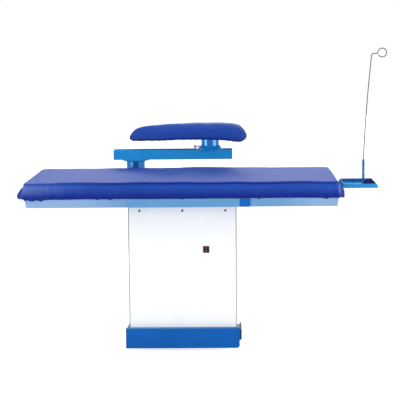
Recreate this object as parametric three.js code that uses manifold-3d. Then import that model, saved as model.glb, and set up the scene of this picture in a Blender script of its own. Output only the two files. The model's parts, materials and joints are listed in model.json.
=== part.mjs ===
import * as THREE from 'three';
import { mergeVertices } from 'three/addons/utils/BufferGeometryUtils.js';
import Module from 'manifold-3d';

// Vacuum ironing table with a swing buck, an iron tray and a hose hanger.
// Millimetres, +Z up, +X to the operator's right, the operator stands at -Y.
// The origin is on the floor below the middle of the suction pan.

const wasm = await Module();
wasm.setup();

// Clearances and cutters shared by all pieces
const seatGap = 0.3; // between a piece and the neighbour that it rests on or is cut by
const turnGap = 0.8; // between a turning piece and the bore that it turns in
const overrun = 6; // how far a cutter runs past the faces that it cuts
const roundSides = 32;
const smallSides = 16;
const hexSides = 6;
const weldReach = 0.0003; // points closer than this are one point

// Board, seam to seam
const boardLength = 1492;
const boardWidth = 750;
const boardCentreX = -3;

// Plinth and cabinet
const plinthHeight = 40;
const plinthWidth = 470;
const plinthDepth = 324;
const plinthSetback = 103;
const plinthSheet = 3;
const cabinetCentreX = -3;
const cabinetWidth = 530;
const cabinetDepth = 450;
const cabinetFront = -187;
const cabinetHeight = 681;
const cabinetSheet = 2;
const panelSheet = 2;
const panelInset = 5;
const gasketThickness = 2;
const returnWidth = 18;
const headReturn = 40;

// Head frame between the cabinet and the pan
const headFrameHeight = 10;
const headFrameInset = 18;
const headFrameBar = 40;

// Suction pan under the board
const panDepth = 40;
const panSheet = 2;
const panRimOut = 1; // how far the rim stands out past the seam at the ends
const panRimIn = 7; // from the seam in to the rim at the front and rear
const panLean = 7.5; // how far each wall leans out from the bottom to the rim
const collarStart = -256;
const collarEnd = 277;
const collarSheet = 3;
const panBracketWidth = 50;
const panBracketSheet = 6;
const panWallReach = 24; // from the rim in to where cutters and brackets meet the pan's walls

// Board frame, perforated plate, foam and cover
const frameSheet = 2;
const frameInEnds = 7; // from the seam in to the frame at the ends
const frameInSides = 9; // and at the front and rear
const frameHeight = 58;
const frameLedge = 20;
const plateSheet = 2;
const plateHole = 12;
const plateHolePitch = 120;
const foamThickness = 15.4;
const foamInset = 2;
const coverThickness = 2;
const coverDrop = 76;
const coverCornerFront = 16;
const coverCornerRearLeft = 28;
const coverCornerRearRight = 26;
const cornerInset = 6; // from the seam in to the rounded corners of frame, plate and foam
const crownInset = 60;
const crownDrop = 1;
const dropShares = [0, 0.08, 0.3, 0.55, 0.8, 1]; // of the drop from the seam to the hem
const leftEndOut = [0, 5, 12, 35, 42, 37]; // how far the skirt stands out at each of them
const rightEndOut = [0, 9, 21, 25, 22, 18];
const frontOut = [0, 2, 6, 8, 6, 2];
const rearOut = [0, 2, 5, 7, 6, 2];
const gatherShare = 0.45; // of the left end's bulge that the front corner holds in
const gatherReach = 80;
const foldDepth = 2;
const foldPitch = 190;
const hemWave = 2;

// Suction duct, damper and fan inside the cabinet
const ductX = -30;
const ductY = 30;
const ductRadius = 78;
const ductWall = 3;
const ductHoleRadius = 70;
const damperDrop = 91; // from the pan down to the damper's axis
const damperSheet = 2;
const damperShaftRadius = 4;
const crankRadius = 12;
const crankRest = THREE.MathUtils.degToRad(33.5);
const crankSheet = 6;
const crankHub = 9;
const crankPinRadius = 3;
const linkOffset = 105; // from the duct's axis to the link's plane
const linkThickness = 6;
const linkRodRadius = 2.8;
const linkEyeRadius = 10;
const linkPinPlay = 2.2;
const linkBendLowDrop = 171; // from the pan down to the link rod's bend
const linkBendHighDrop = 131;
const fanHeight = 120;
const fanSheet = 2;
const voluteSmall = 130;
const voluteLarge = 190;
const voluteStart = THREE.MathUtils.degToRad(50);
const voluteSteps = 26;
const outletWidth = 100;
const ductLength = 211;
const inletRadius = 60;
const impellerRadius = 110;
const impellerHeight = 72;
const impellerLift = 12;
const impellerEye = 62;
const impellerHub = 16;
const bladeCount = 12;
const bladeSheet = 3;
const bladeLean = 0.55;
const motorRadius = 70;
const motorHeight = 160;
const motorMountRadius = 84;
const motorMountHeight = 15;
const motorShaftRadius = 9;
const shelfSheet = 3;
const shelfDepth = 270;
const shelfFlange = 20;
const exhaustLength = 48; // from the fan's outlet to the cabinet's rear wall
const flangeMargin = 26;
const exhaustFlangeSheet = 5;
const exhaustBore = 48;

// Switch, control box and cable gland
const switchX = 112.5;
const switchHeight = 502.5;
const switchWidth = 30;
const switchTall = 33;
const switchRim = 2.5;
const switchLip = 2;
const switchBody = 27;
const rockerDepth = 5;
const rockerTilt = THREE.MathUtils.degToRad(7);
const rockerPlay = 0.7;
const switchPocket = 9;
const controlBoxSize = new THREE.Vector3(60, 100, 130);
const glandX = 180;
const glandHeight = 150;
const glandRadius = 9;
const glandFlange = 14;
const glandLength = 24;

// Panel screws
const screwHeadRadius = 5.5;
const screwHeadHeight = 3;
const screwShankRadius = 2.5;
const screwLength = 10;
const screwSpacing = 209;
const screwDrop = 27.5;

// Foot pedal
const pedalLeft = -284;
const pedalRight = 273;
const pedalFront = -225;
const pedalBottom = 20;
const pedalHeight = 98.5;
const pedalSheet = 3;
const pedalFlange = 36;
const pedalToe = 20;
const pedalCorner = 14;
const pedalArmSheet = 10;
const pedalArmTop = 112;
const pedalArmLow = 60;
const pedalArmSlim = 36;
const pedalAxisY = 20;
const pedalAxisZ = 83;
const pedalShaftRadius = 8;
const bearingSize = 40;
const bearingThickness = 8;
const leverReach = 185;
const leverThickness = 8;
const leverTall = 20;
const leverHub = 16;
const leverPinRadius = 4;
const springReach = 130;
const springRadius = 14;
const springWire = 3;

// Swing arm
const postX = -265;
const armStandOff = 65; // from the board's rear seam to the arm's middle
const postRadius = 48;
const postWall = 3;
const postDuctHeight = 38;
const postDuctHalf = 52;
const postDuctSheet = 3;
const gussetSheet = 6;
const gussetInset = 6;
const gussetHeight = 170;
const gussetTip = 12;
const armLift = 43; // from the board's top to the arm
const armLeft = -378;
const armRight = 244;
const armDepth = 100;
const armTall = 50;
const armWall = 3;
const postFlangeRadius = 70;
const postFlangeSheet = 6;
const postCollarDrop = 10;
const postCollarWall = 3;
const pivotTubeDrop = 100;
const neckX = 128;
const neckRadius = 46.5;
const neckWall = 8;
const spigotRadius = 39;
const spigotDrop = 24;
const neckFlangeRadius = 73.5;
const neckFlangeRim = 3;
const neckFlangeTall = 24;
const neckFlangeTop = 52;
const lockHeight = 14;
const lockShankRadius = 4;
const lockHeadRadius = 9;
const lockHeadLength = 12;
const lockReach = 74;

// Buck
const buckLeft = -292;
const buckRight = 320;
const buckWidth = 200;
const buckThickness = 86.5;
const buckLift = 51; // from the arm's top to the underside above the neck
const buckCoverSheet = 2;
const buckPlateSheet = 3;
const buckPlateLift = 9;
const buckPlateInset = 16;
const buckHemInset = 30;
const buckSides = 20;
const buckWaistShare = 0.42;
const buckTopRound = 2.8;
const buckBottomRound = 5;
const stationShares = [0.012, 0.03, 0.06, 0.11, 0.18, 0.28, 0.42, 0.58, 0.72, 0.83, 0.9, 0.945, 0.975, 0.992];
const widthShares = [0.16, 0.27, 0.38, 0.48, 0.56, 0.65, 0.77, 0.89, 0.97, 1, 0.97, 0.86, 0.66, 0.4];
const crestShares = [0.335, 0.532, 0.676, 0.786, 0.855, 0.917, 0.964, 0.998, 0.994, 0.977, 0.919, 0.786, 0.595, 0.393];
const keelShares = [0.0, -0.045, -0.058, -0.055, -0.05, -0.043, 0, 0.008, 0, -0.058, -0.121, -0.11, -0.023, 0.127];
const noseShare = 0.15;
const buttShare = 0.25;

// Iron tray and hanger
const trayStandOff = 41; // from the board's right seam to the tray's rim
const trayWidth = 159;
const trayFront = -175;
const trayBack = 98;
const trayRimDrop = 34; // from the board's top down to the tray's rim
const trayWall = 20;
const traySheet = 2;
const trayLean = 9;
const bracketWidth = 40;
const bracketSheet = 4;
const bracketDrop = 42;
const bracketFoot = 36;
const bracketFrontY = -110;
const bracketRearY = 40;
const bracketLean = 6; // how far the leg leans out from its foot to the tray
const padInLeft = 105; // from the tray's left rim to the pad
const padWidth = 48;
const padLean = 42;
const padCorner = 6;
const padThickness = 17.4;
const socketInLeft = 111; // from the tray's left rim to the socket's axis
const socketY = 20;
const socketRadius = 6.35;
const socketHeight = 120;
const socketFloor = 3;
const nutRadius = 9.5;
const nutHeight = 6;
const rodRadius = 2.5;
const rodReach = 39.5; // how far the rod's top leans out from the socket
const rodRise = 592; // from the board's top to the rod's bend
const rodBulge = 11.5;
const rodBulgeShare = 0.49;
const rodBend = 10;
const ringStandOff = 52.5; // from the rod's top to the ring's middle
const ringRadius = 21.5;
const ringGap = THREE.MathUtils.degToRad(14);
const ringBend = 4;

// The board's outline, and what follows from it
const boardLeft = boardCentreX - boardLength / 2;
const boardRight = boardCentreX + boardLength / 2;
const panRimLength = boardLength + panRimOut * 2;
const panRimWidth = boardWidth - panRimIn * 2;
const frameLength = boardLength - frameInEnds * 2;
const frameWidth = boardWidth - frameInSides * 2;
const armY = boardWidth / 2 + armStandOff;
const trayLeft = boardRight + trayStandOff;
const trayRight = trayLeft + trayWidth;
const padLeft = trayLeft + padInLeft;
const padRight = padLeft + padWidth;
const socketX = trayLeft + socketInLeft;
const rodTopX = socketX + rodReach;
const ringX = rodTopX + ringStandOff;

// Heights stacked from the floor
const cabinetBottom = plinthHeight;
const cabinetTop = cabinetBottom + cabinetHeight;
const panBottom = cabinetTop + headFrameHeight;
const panRim = panBottom + panDepth;
const frameFoot = panRim + frameSheet;
const frameTop = frameFoot + frameHeight;
const plateTop = frameTop + plateSheet;
const foamBottom = plateTop + seatGap;
const foamTop = foamBottom + foamThickness;
const coverUnder = foamTop + seatGap;
const boardTop = coverUnder + coverThickness;
const armBottom = boardTop + armLift;
const armTop = armBottom + armTall;
const rodTopZ = boardTop + rodRise;
const trayFloor = boardTop - trayRimDrop - trayWall;
const buckUnderside = armTop + buckLift;
const damperZ = panBottom - damperDrop;
const fanTop = panBottom - ductLength;
const linkBendLow = panBottom - linkBendLowDrop;
const linkBendHigh = panBottom - linkBendHighDrop;
const fanBottom = fanTop - fanHeight;
const motorTop = fanBottom - motorMountHeight;

// Places shared by several pieces
const cabinetLeft = cabinetCentreX - cabinetWidth / 2;
const cabinetRight = cabinetCentreX + cabinetWidth / 2;
const cabinetBack = cabinetFront + cabinetDepth;
const panelBack = cabinetFront + panelSheet;
const shellFront = panelBack + gasketThickness;
const outletX = ductX + voluteLarge - outletWidth / 2;
const outletY = cabinetBack - cabinetSheet - exhaustLength;
const linkX = ductX + linkOffset;
const crankPinY = ductY - crankRadius * Math.cos(crankRest);
const crankPinZ = damperZ + crankRadius * Math.sin(crankRest);
const leverPinY = pedalAxisY - leverReach;
const glandY = cabinetBack - cabinetSheet;
const armMidZ = armBottom + armTall / 2;

// Solids made from three.js geometry, joined and cut

function toSolid(geometry) {
  const bare = geometry.index ? geometry.toNonIndexed() : geometry.clone();
  bare.deleteAttribute('normal');
  bare.deleteAttribute('uv');
  const merged = mergeVertices(bare, weldReach);
  const mesh = new wasm.Mesh({
    numProp: 3,
    vertProperties: new Float32Array(merged.attributes.position.array),
    triVerts: new Uint32Array(merged.index.array),
  });
  return new wasm.Manifold(mesh);
}

function toGeometry(solid) {
  const mesh = solid.getMesh();
  const geometry = new THREE.BufferGeometry();
  geometry.setAttribute('position', new THREE.BufferAttribute(new Float32Array(mesh.vertProperties), 3));
  geometry.setIndex(new THREE.BufferAttribute(new Uint32Array(mesh.triVerts), 1));
  const faceted = geometry.toNonIndexed();
  faceted.computeVertexNormals();
  return faceted;
}

function cut(base, ...tools) {
  let solid = toSolid(base);
  for (const tool of tools) {
    solid = solid.subtract(toSolid(tool));
  }
  return toGeometry(solid);
}

function join(first, ...others) {
  let solid = toSolid(first);
  for (const other of others) {
    solid = solid.add(toSolid(other));
  }
  return toGeometry(solid);
}

function common(first, second) {
  return toGeometry(toSolid(first).intersect(toSolid(second)));
}

function box(x0, x1, y0, y1, z0, z1) {
  const geometry = new THREE.BoxGeometry(x1 - x0, y1 - y0, z1 - z0);
  geometry.translate((x0 + x1) / 2, (y0 + y1) / 2, (z0 + z1) / 2);
  return geometry;
}

function rod(axis, radius, from, to, across, upward, sides = smallSides) {
  const geometry = new THREE.CylinderGeometry(radius, radius, to - from, sides);
  const middle = (from + to) / 2;
  if (axis === 'x') {
    geometry.rotateZ(-Math.PI / 2);
    geometry.translate(middle, across, upward);
  } else if (axis === 'y') {
    geometry.translate(across, middle, upward);
  } else {
    geometry.rotateX(Math.PI / 2);
    geometry.translate(across, upward, middle);
  }
  return geometry;
}

function tube(axis, outer, inner, from, to, across, upward, sides = roundSides) {
  const wall = rod(axis, outer, from, to, across, upward, sides);
  return cut(wall, rod(axis, inner, from - overrun, to + overrun, across, upward, sides));
}

function lathe(profile, x, y) {
  const points = profile.map(([radius, height]) => new THREE.Vector2(radius, height));
  points.push(points[0].clone());
  const geometry = new THREE.LatheGeometry(points, roundSides);
  geometry.rotateX(Math.PI / 2);
  geometry.translate(x, y, 0);
  return geometry;
}

function frustum(halfX, halfY, lean, z0, z1) {
  const geometry = new THREE.BoxGeometry(2, 2, 1);
  const position = geometry.attributes.position;
  for (let i = 0; i < position.count; i += 1) {
    const top = position.getZ(i) > 0;
    const grow = top ? lean * (z1 - z0) : 0;
    position.setX(i, Math.sign(position.getX(i)) * (halfX + grow));
    position.setY(i, Math.sign(position.getY(i)) * (halfY + grow));
    position.setZ(i, top ? z1 : z0);
  }
  return geometry;
}

function slab(shape, z0, z1) {
  const geometry = new THREE.ExtrudeGeometry(shape, { depth: z1 - z0, bevelEnabled: false, curveSegments: 8 });
  geometry.translate(0, 0, z0);
  return geometry;
}

function sideSlab(points, x0, x1) {
  const shape = new THREE.Shape(points.map(([y, z]) => new THREE.Vector2(y, z)));
  const geometry = new THREE.ExtrudeGeometry(shape, { depth: x1 - x0, bevelEnabled: false });
  geometry.rotateX(Math.PI / 2);
  geometry.rotateZ(Math.PI / 2);
  geometry.translate(x0, 0, 0);
  return geometry;
}

function frontSlab(points, y0, y1) {
  const shape = new THREE.Shape(points.map(([x, z]) => new THREE.Vector2(x, z)));
  const geometry = new THREE.ExtrudeGeometry(shape, { depth: y1 - y0, bevelEnabled: false });
  geometry.rotateX(Math.PI / 2);
  geometry.translate(0, y1, 0);
  return geometry;
}

// A curve through given points, with one step for each of them
class PointPath extends THREE.Curve {
  constructor(points) {
    super();
    this.points = points;
  }

  getPoint(t) {
    const place = t * (this.points.length - 1);
    const index = Math.min(Math.floor(place), this.points.length - 2);
    return this.points[index].clone().lerp(this.points[index + 1], place - index);
  }

  getPointAt(u) {
    return this.getPoint(u);
  }

  getTangentAt(u) {
    const step = 1 / (this.points.length - 1);
    const before = this.getPoint(Math.max(u - step / 2, 0));
    return this.getPoint(Math.min(u + step / 2, 1)).sub(before).normalize();
  }
}

function wire(points, radius, sides) {
  const section = new THREE.Shape();
  for (let i = 0; i < sides; i += 1) {
    const angle = (2 * Math.PI * i) / sides;
    const corner = new THREE.Vector2(radius * Math.cos(angle), radius * Math.sin(angle));
    if (i === 0) {
      section.moveTo(corner.x, corner.y);
    } else {
      section.lineTo(corner.x, corner.y);
    }
  }
  section.closePath();
  const path = new PointPath(points);
  return new THREE.ExtrudeGeometry(section, { steps: points.length - 1, extrudePath: path, bevelEnabled: false });
}

function arc(centre, radius, from, to, steps) {
  const points = [];
  for (let i = 0; i <= steps; i += 1) {
    const angle = from + ((to - from) * i) / steps;
    points.push(new THREE.Vector3(centre.x + radius * Math.cos(angle), centre.y, centre.z + radius * Math.sin(angle)));
  }
  return points;
}

// A closed skin over rings of points, with a point that closes each end
function skin(rings, start, end) {
  const positions = [];
  const triangle = (a, b, c) => positions.push(...a.toArray(), ...b.toArray(), ...c.toArray());
  const count = rings[0].length;
  const last = rings[rings.length - 1];
  for (let j = 0; j < count; j += 1) {
    const next = (j + 1) % count;
    triangle(start, rings[0][j], rings[0][next]);
    for (let i = 0; i < rings.length - 1; i += 1) {
      triangle(rings[i][j], rings[i + 1][j], rings[i + 1][next]);
      triangle(rings[i][j], rings[i + 1][next], rings[i][next]);
    }
    triangle(end, last[next], last[j]);
  }
  const geometry = new THREE.BufferGeometry();
  geometry.setAttribute('position', new THREE.Float32BufferAttribute(positions, 3));
  geometry.computeVertexNormals();
  return geometry;
}

// Materials
const paint = {
  white: new THREE.Color('#f4f4f5'),
  paleBlue: new THREE.Color('#8fb0dc'),
  midBlue: new THREE.Color('#6797cd'),
  strongBlue: new THREE.Color('#1660b0'),
  armBlue: new THREE.Color('#1e82c9'),
  pedalBlue: new THREE.Color('#1860b1'),
  trayBlue: new THREE.Color('#3a93d2'),
  cloth: new THREE.Color('#2d4fa6'),
  foam: new THREE.Color('#e8dfb8'),
  steel: new THREE.Color('#a8abb0'),
  zinc: new THREE.Color('#c3c7c9'),
  black: new THREE.Color('#141218'),
  red: new THREE.Color('#7a1520'),
  grey: new THREE.Color('#8a8583'),
  motor: new THREE.Color('#4a5560'),
};

const group = new THREE.Group();

function place(name, geometry, color, roughness, metalness, parent = group) {
  const material = new THREE.MeshStandardMaterial({ color, roughness, metalness });
  const mesh = new THREE.Mesh(geometry, material);
  mesh.name = name;
  parent.add(mesh);
  return mesh;
}

// Plinth: an open tray upside up, set back under the cabinet
function basePan() {
  const x0 = cabinetCentreX - plinthWidth / 2;
  const x1 = cabinetCentreX + plinthWidth / 2;
  const y0 = cabinetFront + plinthSetback;
  const y1 = y0 + plinthDepth;
  const inner = [x0 + plinthSheet, x1 - plinthSheet, y0 + plinthSheet, y1 - plinthSheet];
  return cut(box(x0, x1, y0, y1, 0, plinthHeight), box(...inner, plinthSheet, plinthHeight + overrun));
}

// Cabinet shell: floor, top, sides and back in one folded sheet, with a front window
function cabinetShell() {
  const outer = box(cabinetLeft, cabinetRight, shellFront, cabinetBack, cabinetBottom, cabinetTop);
  const hollow = box(
    cabinetLeft + cabinetSheet, cabinetRight - cabinetSheet,
    shellFront + cabinetSheet, cabinetBack - cabinetSheet,
    cabinetBottom + cabinetSheet, cabinetTop - cabinetSheet,
  );
  const window = box(
    cabinetLeft + returnWidth, cabinetRight - returnWidth,
    shellFront - overrun, shellFront + cabinetSheet + overrun,
    cabinetBottom + returnWidth, cabinetTop - headReturn,
  );
  const ductHole = rod('z', ductRadius + seatGap, cabinetTop - overrun, cabinetTop + overrun, ductX, ductY, roundSides);
  const outlet = box(
    outletX - outletWidth / 2 + fanSheet, outletX + outletWidth / 2 - fanSheet,
    cabinetBack - overrun, cabinetBack + overrun,
    fanBottom + fanSheet, fanTop - fanSheet,
  );
  const glandHole = rod('y', glandRadius + seatGap, glandY - overrun, glandY + overrun, glandX, glandHeight);
  const shaftRadius = pedalShaftRadius + turnGap;
  const shaftHole = rod('x', shaftRadius, cabinetLeft - overrun, cabinetRight + overrun, pedalAxisY, pedalAxisZ);
  return cut(outer, hollow, window, ductHole, outlet, glandHole, shaftHole, ...screwHoles());
}

function screwPlaces() {
  const middle = cabinetCentreX + panelSheet / 2;
  return [middle - screwSpacing, middle, middle + screwSpacing];
}

function screwHoles() {
  const from = cabinetFront - overrun;
  const to = shellFront + cabinetSheet + overrun;
  return screwPlaces().map((x) => rod('y', screwShankRadius + seatGap, from, to, x, cabinetTop - screwDrop));
}

// Gasket: a strip that shows as a narrow line round the front panel
function panelGasket() {
  const strip = box(cabinetLeft, cabinetRight, panelBack, shellFront, cabinetBottom, cabinetTop);
  const window = box(
    cabinetLeft + returnWidth, cabinetRight - returnWidth,
    panelBack - overrun, shellFront + overrun,
    cabinetBottom + returnWidth, cabinetTop - headReturn,
  );
  return cut(strip, window, ...screwHoles());
}

function frontPanel() {
  const plate = box(
    cabinetLeft + panelInset, cabinetRight - panelInset,
    cabinetFront, panelBack,
    cabinetBottom + panelInset, cabinetTop,
  );
  const halfWide = switchWidth / 2 - switchLip + seatGap;
  const halfTall = switchTall / 2 - switchLip + seatGap;
  const switchHole = box(
    switchX - halfWide, switchX + halfWide,
    cabinetFront - overrun, panelBack + overrun,
    switchHeight - halfTall, switchHeight + halfTall,
  );
  return cut(plate, switchHole, ...screwHoles());
}

function panelScrew(x) {
  const z = cabinetTop - screwDrop;
  const head = rod('y', screwHeadRadius, cabinetFront - screwHeadHeight, cabinetFront, x, z);
  const shank = rod('y', screwShankRadius, cabinetFront - screwHeadHeight / 2, cabinetFront + screwLength, x, z, 8);
  return join(head, shank);
}

// Head frame: the bars that carry the pan on the cabinet
function headFrame() {
  const x0 = cabinetLeft + headFrameInset;
  const x1 = cabinetRight - headFrameInset;
  const y0 = cabinetFront + headFrameInset;
  const y1 = cabinetBack - headFrameInset;
  const bar = headFrameBar;
  const window = box(x0 + bar, x1 - bar, y0 + bar, y1 - bar, cabinetTop - overrun, panBottom + overrun);
  return cut(box(x0, x1, y0, y1, cabinetTop, panBottom), window);
}

// Suction pan: a shallow tray with leaning walls, open towards the board
const panSlope = panLean / panDepth;

function panBlock(grow, z0, z1) {
  const halfX = panRimLength / 2 - panLean + grow + panSlope * (z0 - panBottom);
  const halfY = panRimWidth / 2 - panLean + grow + panSlope * (z0 - panBottom);
  return frustum(halfX, halfY, panSlope, z0, z1);
}

function suctionPan() {
  const outer = panBlock(0, panBottom, panRim);
  const hollow = panBlock(-panSheet, panBottom + panSheet, panRim + overrun);
  const ductHole = rod('z', ductHoleRadius, panBottom - overrun, panBottom + overrun, ductX, ductY, roundSides);
  const half = postDuctHalf - postDuctSheet * 2;
  const slot = box(
    postX - half, postX + half,
    panRimWidth / 2 - panWallReach - overrun, panRimWidth / 2 + overrun,
    panBottom + postDuctSheet, panBottom + postDuctHeight - postDuctSheet,
  );
  return cut(outer, hollow, ductHole, slot);
}

// Plates that lie on the pan's leaning front wall
function frontPlate(x0, x1, thickness) {
  const plate = panBlock(thickness, panBottom, panRim);
  const inner = -panRimWidth / 2 + panWallReach;
  const strip = box(x0, x1, -panRimWidth, inner, panBottom - overrun, panRim + overrun);
  return cut(common(plate, strip), panBlock(seatGap, panBottom - overrun, panRim + overrun));
}

// Outline of the board's seam, counter-clockwise from above, with the way out at each point
function seamOutline() {
  const halfY = boardWidth / 2;
  const corners = [
    { x: boardRight, y: -halfY, radius: coverCornerFront, from: -Math.PI / 2 },
    { x: boardRight, y: halfY, radius: coverCornerRearRight, from: 0 },
    { x: boardLeft, y: halfY, radius: coverCornerRearLeft, from: Math.PI / 2 },
    { x: boardLeft, y: -halfY, radius: coverCornerFront, from: Math.PI },
  ];
  const edgeSteps = [12, 24, 12, 24];
  const arcSteps = 5;
  const outline = [];
  corners.forEach((corner, index) => {
    const centreX = corner.x - Math.sign(corner.x) * corner.radius;
    const centreY = corner.y - Math.sign(corner.y) * corner.radius;
    for (let i = 0; i <= arcSteps; i += 1) {
      const angle = corner.from + (Math.PI / 2) * (i / arcSteps);
      const out = new THREE.Vector2(Math.cos(angle), Math.sin(angle));
      outline.push({ at: new THREE.Vector2(centreX, centreY).addScaledVector(out, corner.radius), out });
    }
    const next = corners[(index + 1) % corners.length];
    const angle = corner.from + Math.PI / 2;
    const out = new THREE.Vector2(Math.cos(angle), Math.sin(angle));
    const start = outline[outline.length - 1].at;
    const nextCentre = new THREE.Vector2(
      next.x - Math.sign(next.x) * next.radius,
      next.y - Math.sign(next.y) * next.radius,
    );
    const end = nextCentre.addScaledVector(out, next.radius);
    for (let i = 1; i < edgeSteps[index]; i += 1) {
      outline.push({ at: start.clone().lerp(end, i / edgeSteps[index]), out });
    }
  });
  return outline;
}

// Rounds the corners of a block to the seam's outline, drawn in by an inset
function roundCorners(block, inset) {
  const points = seamOutline().map((point) => point.at.clone().addScaledVector(point.out, -inset));
  return common(block, slab(new THREE.Shape(points), panBottom, boardTop));
}

// A block below the board, with its ends and sides drawn in from the frame's outline
function boardBlock(inset, z0, z1) {
  const halfX = frameLength / 2 - inset;
  const halfY = frameWidth / 2 - inset;
  return box(boardCentreX - halfX, boardCentreX + halfX, -halfY, halfY, z0, z1);
}

// Board frame: a folded rim with a foot on the pan and a ledge for the plate
function boardFrame() {
  const web = roundCorners(boardBlock(0, panRim, frameTop), cornerInset);
  const footX = panRimLength / 2;
  const footY = panRimWidth / 2;
  const foot = roundCorners(box(-footX, footX, -footY, footY, panRim, frameFoot), -cornerInset);
  const inner = boardBlock(frameSheet, panRim - overrun, frameTop - frameSheet);
  const hollow = roundCorners(inner, cornerInset + frameSheet);
  return cut(join(web, foot), hollow, boardBlock(frameLedge, frameTop - overrun, frameTop + overrun));
}

// Perforated plate: round holes in rows, all over the frame's window
function perforatedPlate() {
  const plate = boardBlock(0, frameTop, plateTop);
  const across = Math.floor((frameLength / 2 - frameLedge - plateHole) / plateHolePitch);
  const deep = Math.floor((frameWidth / 2 - frameLedge - plateHole) / plateHolePitch);
  const holes = [];
  for (let i = -across; i <= across; i += 1) {
    for (let j = -deep; j <= deep; j += 1) {
      const x = boardCentreX + i * plateHolePitch;
      const hole = rod('z', plateHole, frameTop - overrun, plateTop + overrun, x, j * plateHolePitch, hexSides);
      holes.push(hole);
    }
  }
  return cut(roundCorners(plate, cornerInset), ...holes);
}

function foamPad() {
  return roundCorners(boardBlock(foamInset, foamBottom, foamTop), cornerInset);
}

// How far the skirt stands out from the seam, at one of the shares of its drop
function skirtOffset(point, index) {
  const cornerY = -boardWidth / 2 + coverCornerFront;
  const hold = 1 - gatherShare * Math.exp(-(((point.at.y - cornerY) / gatherReach) ** 2));
  const end = point.out.x < 0 ? leftEndOut[index] * hold : rightEndOut[index];
  const side = point.out.y < 0 ? frontOut[index] : rearOut[index];
  const along = point.at.x + point.at.y;
  const fold = foldDepth * Math.sin((2 * Math.PI * along) / foldPitch) * dropShares[index] ** 2;
  return end * point.out.x ** 2 + side * point.out.y ** 2 + fold;
}

// Table cover: top with a slight crown, and a skirt that hangs from the seam
function tableCover() {
  const outline = seamOutline();
  const seamZ = boardTop - crownDrop;
  const ring = (index, inward, ceiling) => outline.map((point) => {
    const share = dropShares[index];
    const reach = skirtOffset(point, index) - inward;
    const at = point.at.clone().addScaledVector(point.out, reach);
    const wave = hemWave * Math.sin((2 * Math.PI * (point.at.x - point.at.y)) / foldPitch) * share ** 3;
    return new THREE.Vector3(at.x, at.y, Math.min(seamZ - share * coverDrop + wave, ceiling));
  });
  const crown = outline.map((point) => new THREE.Vector3(
    point.at.x * (1 - crownInset / boardLength),
    point.at.y * (1 - crownInset / boardWidth),
    boardTop,
  ));
  const order = dropShares.map((share, index) => index);
  const outside = order.map((index) => ring(index, 0, seamZ + hemWave));
  const inside = order.slice(1).reverse().map((index) => ring(index, coverThickness, coverUnder));
  const lid = ring(0, coverThickness * 2, coverUnder);
  const top = new THREE.Vector3(0, 0, boardTop);
  const under = new THREE.Vector3(0, 0, coverUnder);
  return skin([crown, ...outside, ...inside, lid], top, under);
}

// Suction duct: a round tube from the pan down to the fan, with the damper's bearings
function suctionDuct() {
  const wall = tube('z', ductRadius, ductRadius - ductWall, fanTop, panBottom, ductX, ductY);
  const reach = ductRadius + overrun;
  return cut(wall, rod('x', damperShaftRadius + seatGap, ductX - reach, ductX + reach, ductY, damperZ));
}

function damperFlap() {
  const radius = (ductRadius - ductWall) * Math.cos(Math.PI / roundSides) - turnGap;
  const disc = rod('z', radius, damperZ - damperSheet / 2, damperZ + damperSheet / 2, ductX, ductY, roundSides);
  const end = linkX - linkThickness / 2 - turnGap - crankSheet;
  const shaft = rod('x', damperShaftRadius, ductX - ductRadius - crankHub, end - seatGap, ductY, damperZ);
  return join(disc, shaft);
}

function damperCrank() {
  const x1 = linkX - linkThickness / 2 - turnGap;
  const x0 = x1 - crankSheet;
  const hub = rod('x', crankHub, x0, x1, ductY, damperZ);
  const web = rod('x', crankPinRadius * 2, x0, x1, crankPinY, crankPinZ);
  const pin = rod('x', crankPinRadius, x1 - overrun / 2, linkX + linkThickness / 2, crankPinY, crankPinZ);
  return join(hub, web, pin);
}

// Link rod: from the lever's pin up past the fan, bent back to the crank's pin
function linkRod() {
  const topY = crankPinY - (crankRadius - (ductY - crankPinY)) / 2;
  const eyeLow = linkX - linkThickness / 2;
  const eyeHigh = linkX + linkThickness / 2;
  const route = [
    [leverPinY, pedalAxisZ + linkEyeRadius / 2],
    [leverPinY, linkBendLow],
    [topY, linkBendHigh],
    [topY, crankPinZ - linkEyeRadius / 2],
  ];
  const stem = wire(route.map(([y, z]) => new THREE.Vector3(linkX, y, z)), linkRodRadius, 8);
  const lower = rod('x', linkEyeRadius, eyeLow, eyeHigh, leverPinY, pedalAxisZ);
  const upper = rod('x', linkEyeRadius, eyeLow, eyeHigh, topY, crankPinZ);
  const lowBore = leverPinRadius + linkPinPlay / 2;
  const highBore = crankPinRadius + linkPinPlay;
  return cut(
    join(stem, lower, upper),
    rod('x', lowBore, eyeLow - overrun, eyeHigh + overrun, leverPinY, pedalAxisZ),
    rod('x', highBore, eyeLow - overrun, eyeHigh + overrun, topY, crankPinZ),
  );
}

// Fan housing: a volute whose radius grows towards an outlet at the rear
function voluteShape(inset) {
  const shape = new THREE.Shape();
  const outer = ductX + voluteLarge - inset;
  const reachY = outletY + (inset > 0 ? overrun : 0);
  shape.moveTo(outer, reachY);
  shape.lineTo(ductX + voluteLarge - outletWidth + inset, reachY);
  for (let i = 0; i <= voluteSteps; i += 1) {
    const share = i / voluteSteps;
    const angle = voluteStart + (2 * Math.PI - voluteStart) * share;
    const radius = voluteSmall + (voluteLarge - voluteSmall) * share - inset;
    shape.lineTo(ductX + radius * Math.cos(angle), ductY + radius * Math.sin(angle));
  }
  shape.closePath();
  return shape;
}

function fanHousing() {
  const outer = slab(voluteShape(0), fanBottom, fanTop);
  const hollow = slab(voluteShape(fanSheet), fanBottom + fanSheet, fanTop - fanSheet);
  const inlet = rod('z', inletRadius, fanTop - overrun, fanTop + overrun, ductX, ductY, roundSides);
  const shaftHole = motorShaftRadius + turnGap * 2;
  return cut(outer, hollow, inlet, rod('z', shaftHole, fanBottom - overrun, fanBottom + overrun, ductX, ductY));
}

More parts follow.
